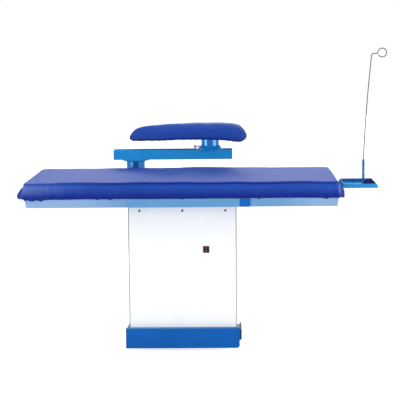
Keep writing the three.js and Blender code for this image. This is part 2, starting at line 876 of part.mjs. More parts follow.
function fanImpeller() {
  const low = fanBottom + impellerLift;
  const high = low + impellerHeight;
  const back = rod('z', impellerRadius, low, low + fanSheet, ductX, ductY, roundSides);
  const hub = rod('z', impellerHub, low, low + impellerHeight / 2, ductX, ductY);
  const ring = tube('z', impellerRadius, impellerEye, high - fanSheet, high, ductX, ductY);
  const blades = [];
  for (let i = 0; i < bladeCount; i += 1) {
    const depth = impellerRadius - impellerEye - bladeSheet * 2;
    const blade = new THREE.BoxGeometry(depth, bladeSheet, impellerHeight - fanSheet);
    blade.rotateZ(bladeLean);
    blade.translate((impellerRadius + impellerEye) / 2, 0, low + impellerHeight / 2);
    blade.rotateZ((2 * Math.PI * i) / bladeCount);
    blade.translate(ductX, ductY, 0);
    blades.push(blade);
  }
  const bore = rod('z', motorShaftRadius + seatGap, low - overrun, high + overrun, ductX, ductY);
  return cut(join(back, hub, ring, ...blades), bore);
}

function motorShaft() {
  const top = fanBottom + impellerLift + impellerHeight / 2 + overrun;
  return rod('z', motorShaftRadius, motorTop + seatGap, top, ductX, ductY);
}

// Motor: a body with a cooling cowl and the flange that hangs it under the fan
function fanMotor() {
  const body = rod('z', motorRadius, motorTop - motorHeight, motorTop, ductX, ductY, roundSides);
  const flange = rod('z', motorMountRadius, motorTop - overrun, fanBottom, ductX, ductY, roundSides);
  const pocket = rod('z', motorShaftRadius + turnGap, motorTop, fanBottom + overrun, ductX, ductY);
  return cut(join(body, flange), pocket);
}

// Shelf: carries the fan between the cabinet's side walls
function fanShelf() {
  const x0 = cabinetLeft + cabinetSheet;
  const x1 = cabinetRight - cabinetSheet;
  const y0 = ductY - shelfDepth / 2;
  const y1 = ductY + shelfDepth / 2;
  const plate = box(x0, x1, y0, y1, fanBottom - shelfSheet, fanBottom);
  const front = box(x0, x1, y0, y0 + shelfSheet, fanBottom - shelfFlange, fanBottom);
  const rear = box(x0, x1, y1 - shelfSheet, y1, fanBottom - shelfFlange, fanBottom);
  const hole = rod('z', motorMountRadius + seatGap, fanBottom - overrun, fanBottom + overrun, ductX, ductY, roundSides);
  return cut(join(plate, front, rear), hole);
}

function exhaustDuct() {
  const x0 = outletX - outletWidth / 2;
  const x1 = outletX + outletWidth / 2;
  const y1 = cabinetBack - cabinetSheet;
  const outer = box(x0, x1, outletY, y1, fanBottom, fanTop);
  const inner = [x0 + fanSheet, x1 - fanSheet, outletY - overrun, y1 + overrun];
  return cut(outer, box(...inner, fanBottom + fanSheet, fanTop - fanSheet));
}

function exhaustFlange() {
  const half = outletWidth / 2 + flangeMargin;
  const z = (fanBottom + fanTop) / 2;
  const tall = fanHeight / 2 + flangeMargin;
  const y1 = cabinetBack + exhaustFlangeSheet;
  const plate = box(outletX - half, outletX + half, cabinetBack, y1, z - tall, z + tall);
  return cut(plate, rod('y', exhaustBore, cabinetBack - overrun, y1 + overrun, outletX, z, roundSides));
}

function controlBox() {
  const x1 = cabinetRight - cabinetSheet;
  const y0 = shellFront + headReturn;
  const z0 = fanTop;
  return box(x1 - controlBoxSize.x, x1, y0, y0 + controlBoxSize.y, z0, z0 + controlBoxSize.z);
}

// Switch: a bezel with a pocket, and the rocker that tilts in it
function switchBezel() {
  const x = switchX;
  const z = switchHeight;
  const wide = switchWidth / 2;
  const tall = switchTall / 2;
  const front = cabinetFront - switchRim;
  const rim = box(x - wide, x + wide, front, cabinetFront, z - tall, z + tall);
  const bodyWide = wide - switchLip;
  const bodyTall = tall - switchLip;
  const back = cabinetFront + switchBody;
  const body = box(x - bodyWide, x + bodyWide, front, back, z - bodyTall, z + bodyTall);
  const pocketWide = bodyWide - switchLip;
  const pocketTall = bodyTall - switchLip;
  const pocket = box(
    x - pocketWide, x + pocketWide,
    front - overrun, front + switchPocket,
    z - pocketTall, z + pocketTall,
  );
  return cut(join(rim, body), pocket);
}

function switchRocker() {
  const wide = switchWidth - switchLip * 4 - rockerPlay * 2;
  const tall = switchTall - switchLip * 4 - rockerPlay * 2;
  return new THREE.BoxGeometry(wide, rockerDepth, tall);
}

function cableGland() {
  const flange = rod('y', glandFlange, cabinetBack, cabinetBack + panelSheet * 2, glandX, glandHeight, hexSides);
  const barrel = rod('y', glandRadius, glandY - glandLength / 2, cabinetBack + glandLength, glandX, glandHeight);
  const bore = rod('y', glandRadius / 2, cabinetBack, cabinetBack + glandLength + overrun, glandX, glandHeight);
  return cut(join(flange, barrel), bore);
}

// Pedal: a toe plate in front of the cabinet on two arms and a cross shaft
function pedalPlate() {
  const y0 = pedalFront;
  const y1 = pedalFront + pedalSheet;
  const z1 = pedalBottom + pedalHeight;
  const shape = new THREE.Shape();
  shape.moveTo(pedalLeft, pedalBottom);
  shape.lineTo(pedalRight - pedalCorner, pedalBottom);
  shape.absarc(pedalRight - pedalCorner, pedalBottom + pedalCorner, pedalCorner, -Math.PI / 2, 0, false);
  shape.lineTo(pedalRight, z1);
  shape.lineTo(pedalLeft, z1);
  shape.closePath();
  const face = new THREE.ExtrudeGeometry(shape, { depth: pedalSheet, bevelEnabled: false, curveSegments: 4 });
  face.rotateX(Math.PI / 2);
  face.translate(0, y1, 0);
  const back = y0 + pedalFlange;
  const top = box(pedalLeft, pedalRight, y0, back, z1 - pedalSheet, z1);
  const toe = box(pedalLeft, pedalRight - pedalCorner, y0, y0 + pedalToe, pedalBottom, pedalBottom + pedalSheet);
  const low = pedalBottom + pedalCorner;
  const left = box(pedalLeft, pedalLeft + pedalSheet, y0, back, low, z1);
  const right = box(pedalRight - pedalSheet, pedalRight, y0, back, low, z1);
  return join(face, top, toe, left, right);
}

function pedalArm(x0) {
  const y0 = pedalFront + pedalSheet + seatGap;
  const slim = pedalArmSlim / 2;
  const taperY = y0 + pedalFlange * 2;
  const y1 = pedalAxisY + slim;
  const outline = [
    [y0, pedalArmLow], [taperY, pedalArmLow], [pedalAxisY, pedalAxisZ - slim],
    [y1, pedalAxisZ - slim / 2], [y1, pedalAxisZ + slim / 2],
    [pedalAxisY, pedalAxisZ + slim], [taperY, pedalArmTop], [y0, pedalArmTop],
  ];
  const x1 = x0 + pedalArmSheet;
  const hole = rod('x', pedalShaftRadius + seatGap, x0 - overrun, x1 + overrun, pedalAxisY, pedalAxisZ);
  return cut(sideSlab(outline, x0, x1), hole);
}

const armInLeft = pedalLeft + pedalSheet;
const armOutRight = pedalRight;

function pedalShaft() {
  return rod('x', pedalShaftRadius, armInLeft, armOutRight + pedalArmSheet, pedalAxisY, pedalAxisZ);
}

function pedalBearing(x0) {
  const x1 = x0 + bearingThickness;
  const half = bearingSize / 2;
  const block = box(x0, x1, pedalAxisY - half, pedalAxisY + half, pedalAxisZ - half, pedalAxisZ + half);
  return cut(block, rod('x', pedalShaftRadius + turnGap, x0 - overrun, x1 + overrun, pedalAxisY, pedalAxisZ));
}

function pedalLever() {
  const x1 = linkX - linkThickness / 2 - turnGap;
  const x0 = x1 - leverThickness;
  const half = leverTall / 2;
  const hub = rod('x', leverHub, x0 - leverThickness / 2, x1, pedalAxisY, pedalAxisZ);
  const bar = box(x0, x1, leverPinY, pedalAxisY, pedalAxisZ - half, pedalAxisZ + half);
  const tip = rod('x', half, x0, x1, leverPinY, pedalAxisZ);
  const pin = rod('x', leverPinRadius, x0, linkX + linkThickness / 2, leverPinY, pedalAxisZ);
  const bore = rod('x', pedalShaftRadius + seatGap, x0 - leverHub, x1 + overrun, pedalAxisY, pedalAxisZ);
  return cut(join(hub, bar, tip, pin), bore);
}

// Return spring: stands on the cabinet's floor under the lever
function returnSpring() {
  const z0 = cabinetBottom + cabinetSheet + seatGap;
  const z1 = pedalAxisZ - leverTall / 2 - seatGap;
  const x = linkX - linkThickness / 2 - turnGap - leverThickness / 2;
  return tube('z', springRadius, springRadius - springWire, z0, z1, x, pedalAxisY - springReach, smallSides);
}

// Post: a hollow bracket behind the pan, a brace, a round post and its flange
function postDuct() {
  const y1 = armY + postDuctHalf;
  const z1 = panBottom + postDuctHeight;
  const y0 = panRimWidth / 2 - panWallReach;
  const half = postDuctHalf;
  const sheet = postDuctSheet;
  const outer = box(postX - half, postX + half, y0, y1, panBottom, z1);
  const inner = [postX - half + sheet, postX + half - sheet, y0 - overrun, y1 - sheet];
  const hollow = box(...inner, panBottom + sheet, z1 - sheet);
  const bore = rod('z', postRadius - postWall, z1 - overrun, z1 + overrun, postX, armY, roundSides);
  return cut(outer, hollow, bore, panBlock(seatGap, panBottom - overrun, z1 + overrun));
}

function postGusset() {
  const x0 = cabinetLeft + gussetInset;
  const tipY = armY + postDuctHalf;
  const outline = [
    [cabinetBack, panBottom], [cabinetBack, panBottom - gussetHeight],
    [tipY, panBottom - gussetTip], [tipY, panBottom],
  ];
  return sideSlab(outline, x0, x0 + gussetSheet);
}

function pivotPost() {
  const top = armBottom - seatGap - postFlangeSheet;
  return tube('z', postRadius, postRadius - postWall, panBottom + postDuctHeight, top, postX, armY);
}

function postFlange() {
  const top = armBottom - seatGap;
  const seat = top - postFlangeSheet;
  const bore = postRadius - postWall;
  const collar = postRadius + seatGap;
  return lathe([
    [bore, seat], [collar, seat], [collar, seat - postCollarDrop],
    [collar + postCollarWall, seat - postCollarDrop],
    [postFlangeRadius - postCollarWall, seat], [postFlangeRadius, seat],
    [postFlangeRadius, top], [bore, top],
  ], postX, armY);
}

// Swing arm: a flat hollow tube with end caps, turning on a journal in the post
function journalRadius() {
  return postRadius - postWall - turnGap;
}

function armPivotTube() {
  const radius = journalRadius();
  return tube('z', radius, radius - postWall, armBottom - pivotTubeDrop, armBottom + armWall * 2, postX, armY);
}

function swingArmTube() {
  const y0 = armY - armDepth / 2;
  const y1 = armY + armDepth / 2;
  const x0 = armLeft + armWall;
  const x1 = armRight - armWall;
  const outer = box(x0, x1, y0, y1, armBottom, armTop);
  const inner = [x0 - overrun, x1 + overrun, y0 + armWall, y1 - armWall];
  const hollow = box(...inner, armBottom + armWall, armTop - armWall);
  const low = rod('z', journalRadius() + seatGap, armBottom - overrun, armMidZ, postX, armY, roundSides);
  const high = rod('z', spigotRadius + turnGap, armMidZ, armTop + overrun, neckX, armY, roundSides);
  return cut(outer, hollow, low, high);
}

function armCap(x0) {
  return box(x0, x0 + armWall, armY - armDepth / 2, armY + armDepth / 2, armBottom, armTop);
}

function neckFlange() {
  const bore = neckRadius + turnGap;
  const ring = lathe([
    [bore, armTop], [neckFlangeRadius, armTop], [neckFlangeRadius, armTop + neckFlangeRim],
    [neckFlangeTop, armTop + neckFlangeTall - neckFlangeRim], [neckFlangeTop, armTop + neckFlangeTall],
    [bore, armTop + neckFlangeTall],
  ], neckX, armY);
  const hole = rod('x', lockShankRadius + seatGap, neckX - neckFlangeRadius, neckX, armY, armTop + lockHeight);
  return cut(ring, hole);
}

// Lock screw: clamps the neck through the flange
function lockScrew() {
  const z = armTop + lockHeight;
  const outer = neckX - lockReach;
  const shank = rod('x', lockShankRadius, outer - overrun, neckX - neckRadius - turnGap, armY, z);
  const head = rod('x', lockHeadRadius, outer - lockHeadLength, outer, armY, z, 10);
  return join(shank, head);
}

// Buck neck: a polished tube that turns on the arm and carries the buck
function buckNeck() {
  const foot = armTop + seatGap;
  const bore = spigotRadius - postWall;
  const top = buckUnderside + buckPlateLift;
  return lathe([
    [bore, foot - spigotDrop], [spigotRadius, foot - spigotDrop], [spigotRadius, foot],
    [neckRadius, foot], [neckRadius, top], [neckRadius - neckWall, top], [bore, foot],
  ], neckX, armY);
}

// Buck: stations along its length, each a rounded section between keel and crest
function buckBody(inset) {
  const low = buckLeft + inset;
  const span = buckRight - buckLeft - inset * 2;
  const rings = stationShares.map((share, index) => {
    const x = low + span * share;
    const half = (buckWidth / 2) * widthShares[index] - inset;
    const top = buckUnderside + buckThickness * crestShares[index] - inset;
    const bottom = buckUnderside + buckThickness * keelShares[index] + inset;
    const waist = bottom + (top - bottom) * buckWaistShare;
    const ring = [];
    for (let k = 0; k < buckSides; k += 1) {
      const angle = (2 * Math.PI * k) / buckSides;
      const power = 2 / (Math.sin(angle) > 0 ? buckTopRound : buckBottomRound);
      const across = Math.sign(Math.cos(angle)) * Math.abs(Math.cos(angle)) ** power;
      const rise = Math.abs(Math.sin(angle)) ** power;
      const z = Math.sin(angle) > 0 ? waist + (top - waist) * rise : waist - (waist - bottom) * rise;
      ring.push(new THREE.Vector3(x, armY - half * across, z));
    }
    return ring;
  });
  const nose = new THREE.Vector3(low, armY, buckUnderside + buckThickness * noseShare);
  const butt = new THREE.Vector3(low + span, armY, buckUnderside + buckThickness * buttShare);
  return skin(rings, nose, butt);
}

function buckPlan(inset) {
  const near = [];
  const far = [];
  stationShares.forEach((share, index) => {
    const x = buckLeft + inset + (buckRight - buckLeft - inset * 2) * share;
    const half = Math.max((buckWidth / 2) * widthShares[index] - inset, seatGap);
    near.push(new THREE.Vector2(x, armY - half));
    far.unshift(new THREE.Vector2(x, armY + half));
  });
  return new THREE.Shape([...near, ...far]);
}

function buckCover() {
  const hem = slab(buckPlan(buckHemInset), buckUnderside - buckThickness, buckUnderside + buckThickness / 2);
  return cut(buckBody(0), buckBody(buckCoverSheet), hem);
}

const buckPlateZ = buckUnderside + buckPlateLift;

function buckBasePlate() {
  return slab(buckPlan(buckPlateInset), buckPlateZ, buckPlateZ + buckPlateSheet);
}

function buckFoam() {
  const z0 = buckPlateZ + buckPlateSheet + seatGap;
  const above = box(buckLeft, buckRight, armY - buckWidth, armY + buckWidth, z0, buckUnderside + buckThickness * 2);
  return common(buckBody(buckCoverSheet + seatGap), above);
}

// Iron tray: a sheet tray whose walls lean in towards the rim
function trayBlock(inset, z0, z1) {
  const lean = trayLean / trayWall;
  const halfX = (trayRight - trayLeft) / 2 + trayLean - inset - lean * (z0 - trayFloor);
  const halfY = (trayBack - trayFront) / 2 + trayLean - inset - lean * (z0 - trayFloor);
  const geometry = frustum(halfX, halfY, -lean, z0, z1);
  geometry.translate((trayLeft + trayRight) / 2, (trayFront + trayBack) / 2, 0);
  return geometry;
}

function ironTray() {
  const rim = trayFloor + trayWall;
  return cut(trayBlock(0, trayFloor, rim), trayBlock(traySheet, trayFloor + traySheet, rim + overrun / 2));
}

// Tray bracket: out from the pan's end wall under the hem, then up and out to the tray
function trayBracket(y) {
  const y0 = y - bracketWidth / 2;
  const y1 = y + bracketWidth / 2;
  const z0 = trayFloor - bracketDrop;
  const low = trayLeft - bracketLean;
  const wall = panRimLength / 2 - panWallReach;
  const outline = [
    [wall, z0], [low, z0], [trayLeft, trayFloor - bracketSheet],
    [trayLeft + bracketFoot, trayFloor - bracketSheet], [trayLeft + bracketFoot, trayFloor],
    [trayLeft - bracketSheet, trayFloor], [low - bracketSheet, z0 + bracketSheet], [wall, z0 + bracketSheet],
  ];
  return cut(frontSlab(outline, y0, y1), panBlock(seatGap, panBottom - overrun, panRim + overrun));
}

// Rest pad: a rubber block along the tray's right wall, with a curved left side
function ironRestPad() {
  const front = trayFront + traySheet * 2;
  const back = trayBack - traySheet * 2;
  const shape = new THREE.Shape();
  shape.moveTo(padLeft + padCorner, front);
  shape.lineTo(padRight, front);
  shape.lineTo(padRight, back);
  shape.lineTo(padLeft + padLean, back);
  shape.quadraticCurveTo(padLeft, (front + back) / 2 + padLean, padLeft, front + padCorner);
  shape.closePath();
  const floor = trayFloor + traySheet;
  return slab(shape, floor, floor + padThickness);
}

// Hanger: a socket with its nut, and a spring rod that ends in a ring
function hangerSocket() {
  const z0 = trayFloor + traySheet;
  const z1 = z0 + socketHeight;
  const post = rod('z', socketRadius, z0, z1, socketX, socketY);
  return cut(post, rod('z', rodRadius + turnGap, z0 + socketFloor, z1 + overrun, socketX, socketY));
}

function hangerNut() {
  const z0 = trayFloor + traySheet;
  const nut = rod('z', nutRadius, z0, z0 + nutHeight, socketX, socketY, hexSides);
  return cut(nut, rod('z', socketRadius + seatGap, z0 - overrun, z0 + nutHeight + overrun, socketX, socketY));
}

function hangerRod() {
  const foot = trayFloor + traySheet + socketFloor + seatGap;
  const mouth = trayFloor + traySheet + socketHeight;
  const start = new THREE.Vector3(socketX, socketY, foot);
  const low = new THREE.Vector3(socketX, socketY, mouth);
  const bulgeZ = mouth + (rodTopZ - mouth) * rodBulgeShare;
  const high = new THREE.Vector3(rodTopX, socketY, rodTopZ - rodBend);
  const bulge = new THREE.Vector3(socketX + rodBulge, socketY, bulgeZ);
  const lean = new THREE.QuadraticBezierCurve3(low, bulge, high);
  const elbowCentre = new THREE.Vector3(rodTopX + rodBend, socketY, rodTopZ - rodBend);
  const elbow = arc(elbowCentre, rodBend, Math.PI, Math.PI / 2, 4).slice(1);
  const joinX = ringX - ringRadius;
  const turnCentre = new THREE.Vector3(joinX - ringBend, socketY, rodTopZ + ringBend);
  const turn = arc(turnCentre, ringBend, -Math.PI / 2, 0, 3);
  const ringCentre = new THREE.Vector3(ringX, socketY, rodTopZ + ringBend);
  const ring = arc(ringCentre, ringRadius, Math.PI, -Math.PI + ringGap * 2, 24).slice(1);
  const middle = new THREE.Vector3(socketX, socketY, (foot + mouth) / 2);
  return wire([start, middle, ...lean.getPoints(12), ...elbow, ...turn, ...ring], rodRadius, 8);
}

// Assembly
place('base_pan', basePan(), paint.strongBlue, 0.5, 0.2);
place('cabinet_shell', cabinetShell(), paint.white, 0.45, 0.1);
place('panel_gasket', panelGasket(), paint.grey, 0.9, 0);
place('front_panel', frontPanel(), paint.white, 0.4, 0.1);
['left', 'centre', 'right'].forEach((side, index) => {
  place(`panel_screw_${side}`, panelScrew(screwPlaces()[index]), paint.zinc, 0.35, 0.9);
});
place('head_frame', headFrame(), paint.strongBlue, 0.5, 0.2);
place('suction_pan', suctionPan(), paint.paleBlue, 0.4, 0.1);
place('pan_collar', frontPlate(collarStart, collarEnd, collarSheet), paint.midBlue, 0.4, 0.1);
const panBracketEnd = collarEnd + panBracketWidth;
place('pan_bracket', frontPlate(collarEnd, panBracketEnd, panBracketSheet), paint.strongBlue, 0.4, 0.1);
place('board_frame', boardFrame(), paint.paleBlue, 0.45, 0.2);
place('perforated_plate', perforatedPlate(), paint.steel, 0.4, 0.8);
place('foam_pad', foamPad(), paint.foam, 0.95, 0);
place('table_cover', tableCover(), paint.cloth, 0.85, 0);

place('suction_duct', suctionDuct(), paint.zinc, 0.4, 0.8);
place('damper_flap', damperFlap(), paint.steel, 0.4, 0.8);
place('damper_crank', damperCrank(), paint.steel, 0.4, 0.8);
place('link_rod', linkRod(), paint.steel, 0.4, 0.8);
place('fan_housing', fanHousing(), paint.zinc, 0.45, 0.7);
place('fan_impeller', fanImpeller(), paint.steel, 0.4, 0.8);
place('motor_shaft', motorShaft(), paint.steel, 0.3, 0.9);
place('fan_motor', fanMotor(), paint.motor, 0.5, 0.5);
place('fan_shelf', fanShelf(), paint.zinc, 0.5, 0.6);
place('exhaust_duct', exhaustDuct(), paint.zinc, 0.45, 0.7);
place('exhaust_flange', exhaustFlange(), paint.zinc, 0.45, 0.7);
place('control_box', controlBox(), paint.grey, 0.6, 0.1);

place('switch_bezel', switchBezel(), paint.black, 0.5, 0);
const rocker = place('switch_rocker', switchRocker(), paint.red, 0.35, 0);
rocker.position.set(switchX, cabinetFront - switchRim + rockerDepth / 2, switchHeight);
rocker.rotation.x = -rockerTilt;
place('cable_gland', cableGland(), paint.black, 0.5, 0);

place('pedal_plate', pedalPlate(), paint.pedalBlue, 0.35, 0.2);
place('pedal_arm_left', pedalArm(armInLeft), paint.pedalBlue, 0.4, 0.2);
place('pedal_arm_right', pedalArm(armOutRight), paint.pedalBlue, 0.4, 0.2);
place('pedal_shaft', pedalShaft(), paint.steel, 0.35, 0.9);
place('pedal_lever', pedalLever(), paint.steel, 0.45, 0.8);
place('pedal_bearing_left', pedalBearing(cabinetLeft + cabinetSheet), paint.black, 0.5, 0.1);
const rightBearingX = cabinetRight - cabinetSheet - bearingThickness;
place('pedal_bearing_right', pedalBearing(rightBearingX), paint.black, 0.5, 0.1);
place('return_spring', returnSpring(), paint.steel, 0.4, 0.9);

place('post_duct', postDuct(), paint.armBlue, 0.4, 0.2);
place('post_gusset', postGusset(), paint.armBlue, 0.4, 0.2);
place('pivot_post', pivotPost(), paint.armBlue, 0.25, 0.4);
place('post_flange', postFlange(), paint.armBlue, 0.3, 0.3);
place('arm_pivot_tube', armPivotTube(), paint.steel, 0.35, 0.8);
place('swing_arm_tube', swingArmTube(), paint.armBlue, 0.35, 0.2);
place('arm_cap_left', armCap(armLeft), paint.armBlue, 0.35, 0.2);
place('arm_cap_right', armCap(armRight - armWall), paint.armBlue, 0.35, 0.2);
place('neck_flange', neckFlange(), paint.armBlue, 0.3, 0.3);
place('lock_screw', lockScrew(), paint.zinc, 0.25, 0.9);
place('buck_neck', buckNeck(), paint.armBlue, 0.15, 0.6);
place('buck_base_plate', buckBasePlate(), paint.steel, 0.4, 0.7);
place('buck_foam', buckFoam(), paint.foam, 0.95, 0);
place('buck_cover', buckCover(), paint.cloth, 0.85, 0);

place('iron_tray', ironTray(), paint.trayBlue, 0.35, 0.2);
place('tray_bracket_front', trayBracket(bracketFrontY), paint.strongBlue, 0.4, 0.2);
place('tray_bracket_rear', trayBracket(bracketRearY), paint.strongBlue, 0.4, 0.2);
place('iron_rest_pad', ironRestPad(), paint.black, 0.8, 0);
place('hanger_socket', hangerSocket(), paint.trayBlue, 0.35, 0.3);
place('hanger_nut', hangerNut(), paint.zinc, 0.3, 0.9);
place('hanger_rod', hangerRod(), paint.steel, 0.3, 0.9);

export default group;
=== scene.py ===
import json
import math

import bmesh
import bpy
from mathutils import Matrix, Vector


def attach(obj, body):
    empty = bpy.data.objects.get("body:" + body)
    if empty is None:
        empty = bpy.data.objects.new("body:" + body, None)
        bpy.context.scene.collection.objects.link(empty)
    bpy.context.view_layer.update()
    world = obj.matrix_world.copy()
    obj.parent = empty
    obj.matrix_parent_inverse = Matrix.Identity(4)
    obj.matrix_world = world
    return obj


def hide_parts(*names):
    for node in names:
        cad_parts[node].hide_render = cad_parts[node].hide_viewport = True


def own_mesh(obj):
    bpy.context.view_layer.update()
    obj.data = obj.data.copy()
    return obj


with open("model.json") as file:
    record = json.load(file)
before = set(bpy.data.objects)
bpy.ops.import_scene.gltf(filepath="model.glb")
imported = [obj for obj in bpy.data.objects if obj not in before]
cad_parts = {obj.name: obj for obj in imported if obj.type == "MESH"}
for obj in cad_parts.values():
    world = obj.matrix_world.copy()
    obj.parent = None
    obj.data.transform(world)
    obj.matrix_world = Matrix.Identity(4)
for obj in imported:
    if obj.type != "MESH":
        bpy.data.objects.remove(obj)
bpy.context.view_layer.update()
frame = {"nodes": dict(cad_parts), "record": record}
scene = bpy.context.scene
MM = 0.001

BODY_OF = {
    node: body
    for body, members in frame["record"]["behaviour"]["bodies"].items()
    for node in members
}
SLOT_OF = {part["node"]: part["material_slot"] for part in frame["record"]["subparts"]}


# Mesh tools

def deselect():
    bpy.ops.object.select_all(action="DESELECT")


def select_only(obj):
    """Selects one object and nothing else."""
    deselect()
    obj.hide_viewport = False
    obj.select_set(True)
    bpy.context.view_layer.objects.active = obj


def edit(obj, mode="VERT", action="SELECT"):
    """Opens edit mode on one object, with all of it selected or nothing."""
    select_only(obj)
    bpy.ops.object.mode_set(mode="EDIT")
    bpy.ops.mesh.select_mode(type=mode)
    bpy.ops.mesh.select_all(action=action)


def leave_edit():
    bpy.ops.object.mode_set(mode="OBJECT")


def add_modifier(obj, kind, **settings):
    """Adds a modifier, sets it up and applies it."""
    select_only(obj)
    modifier = obj.modifiers.new(kind.lower(), kind)
    for name, value in settings.items():
        setattr(modifier, name, value)
    bpy.ops.object.modifier_apply(modifier=modifier.name)


def bevel(obj, width, segments, degrees=32, **settings):
    """Rounds the edges that are sharper than an angle."""
    add_modifier(obj, "BEVEL", width=width, segments=segments, limit_method="ANGLE",
                 angle_limit=math.radians(degrees), **settings)


def smooth(obj, degrees):
    select_only(obj)
    bpy.ops.object.shade_smooth_by_angle(angle=math.radians(degrees))


def settle(obj):
    """Moves an object's place into its mesh."""
    select_only(obj)
    bpy.ops.object.transform_apply(location=True, rotation=True, scale=True)


def outward(obj, merge=0.00001):
    """Merges points that meet and turns all faces outwards."""
    edit(obj)
    bpy.ops.mesh.remove_doubles(threshold=merge)
    bpy.ops.mesh.normals_make_consistent(inside=False)
    leave_edit()


def join_all(name, objects):
    """Joins several objects into one piece."""
    deselect()
    for obj in objects:
        obj.select_set(True)
    bpy.context.view_layer.objects.active = objects[0]
    bpy.ops.object.join()
    joined = bpy.context.view_layer.objects.active
    joined.name = name
    return joined


def dress(obj, *materials):
    obj.data.materials.clear()
    for material in materials:
        obj.data.materials.append(material)


def add_object(name, data):
    """Puts a mesh, a camera or a lamp in the scene."""
    obj = bpy.data.objects.new(name, data)
    scene.collection.objects.link(obj)
    return obj


def from_points(name, points, faces):
    mesh = bpy.data.meshes.new(name)
    mesh.from_pydata([tuple(p) for p in points], [], faces)
    return add_object(name, mesh)


def finish_piece(obj, node):
    """Lets a piece ride on its node's body and the node it stands for."""
    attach(obj, BODY_OF[node])
    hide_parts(node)


def complete(obj, node, finish, degrees):
    """Gives a shaped piece its material and shading and puts it in its node's place."""
    dress(obj, FINISH[finish])
    smooth(obj, degrees)
    finish_piece(obj, node)


def merged_copy(node):
    """A copy of a CAD node's mesh, merged, with its flat faces made whole."""
    obj = add_object(node + "_finished", frame["nodes"][node].data.copy())
    obj.data.materials.clear()
    edit(obj)
    bpy.ops.mesh.remove_doubles(threshold=0.00002)
    bpy.ops.mesh.dissolve_limited(angle_limit=math.radians(0.6))
    bpy.ops.mesh.set_normals_from_faces()
    leave_edit()
    return obj


def rounded(node, fillet, *materials):
    """A CAD node's form with its edges rounded; the rounds take the last material."""
    obj = merged_copy(node)
    dress(obj, *materials)
    bevel(obj, fillet, 2, material=len(materials) - 1, miter_outer="MITER_ARC")
    smooth(obj, 40)
    add_modifier(obj, "WEIGHTED_NORMAL", weight=100, keep_sharp=True)
    return obj


def held_edges(profile):
    """The profile with a point close to each end of its long walls, so they shade flat."""
    reach, longest, middle = 0.0005, 0.004, 0.001
    held = [profile[0]]
    for before, after in zip(profile, profile[1:]):
        length = math.dist(before, after)
        if length > longest and min(before[0], after[0]) > middle:
            for share in (reach / length, 1 - reach / length):
                held.append(tuple(a + (b - a) * share for a, b in zip(before, after)))
        held.append(after)
    return held


def turned(name, profile, centre, sides=96, axis="Z", closed=True):
    """A turned form: a circle extruded and resized from one radius to the next."""
    radius, height = profile[0]
    bpy.ops.mesh.primitive_circle_add(vertices=sides, radius=radius, location=(0, 0, height))
    obj = bpy.context.active_object
    obj.name = name
    settle(obj)
    edit(obj, "EDGE")
    path = held_edges([*profile, profile[0]] if closed else profile)
    for next_radius, next_height in path[1:]:
        bpy.ops.mesh.extrude_edges_move(
            TRANSFORM_OT_translate={"value": (0, 0, next_height - height)})
        scale = next_radius / radius
        bpy.ops.transform.resize(
            value=(scale, scale, 1), center_override=(0, 0, next_height))
        radius, height = next_radius, next_height
    leave_edit()
    turn = {"Z": Matrix.Identity(4),
            "X": Matrix.Rotation(math.radians(90), 4, "Y"),
            "Y": Matrix.Rotation(math.radians(-90), 4, "X")}[axis]
    obj.data.transform(Matrix.Translation(Vector(centre)) @ turn)
    outward(obj)
    return obj


def block(name, low, high):
    """A box between two corners, for cutters and for forms shaped further."""
    centre = [(a + b) / 2 for a, b in zip(low, high)]
    bpy.ops.mesh.primitive_cube_add(size=1, location=centre)
    obj = bpy.context.active_object
    obj.name = name
    obj.scale = [b - a for a, b in zip(low, high)]
    settle(obj)
    return obj


def bar(start, end, radius, sides=24):
    """A round bar between two points, for holes."""
    middle, reach = (Vector(start) + Vector(end)) / 2, Vector(end) - Vector(start)
    bpy.ops.mesh.primitive_cylinder_add(vertices=sides, radius=radius, depth=reach.length)
    made = bpy.context.active_object
    turn = reach.to_track_quat("Z", "Y").to_matrix().to_4x4()
    made.data.transform(Matrix.Translation(middle) @ turn)
    return made


def cut_with(obj, cutters):
    """Takes the cutters out of an object and deletes them."""
    for cutter in cutters:
        add_modifier(obj, "BOOLEAN", operation="DIFFERENCE", object=cutter, solver="EXACT")
        bpy.data.objects.remove(cutter)


def swept(name, points, radius, sides):
    """A wire along points: a curve with a round section, made a mesh."""
    bpy.ops.curve.primitive_nurbs_path_add(location=(0, 0, 0))
    obj = bpy.context.active_object
    obj.name = name
    curve = obj.data
    curve.splines.clear()
    spline = curve.splines.new("POLY")
    spline.points.add(len(points) - 1)
    for spot, point in zip(spline.points, points):
        spot.co = (*point, 1)
    curve.dimensions = "3D"
    curve.bevel_depth = radius
    curve.bevel_resolution = sides
    curve.use_fill_caps = True
    select_only(obj)
    bpy.ops.object.convert(target="MESH")
    obj = bpy.context.active_object
    outward(obj)
    return obj


# Materials

def linear(red, green, blue):
    """A colour as it is seen, 0 to 255, in the renderer's linear values."""
    out = []
    for value in (red, green, blue):
        share = value / 255
        out.append(share / 12.92 if share <= 0.04045 else ((share + 0.055) / 1.055) ** 2.4)
    return (*out, 1)


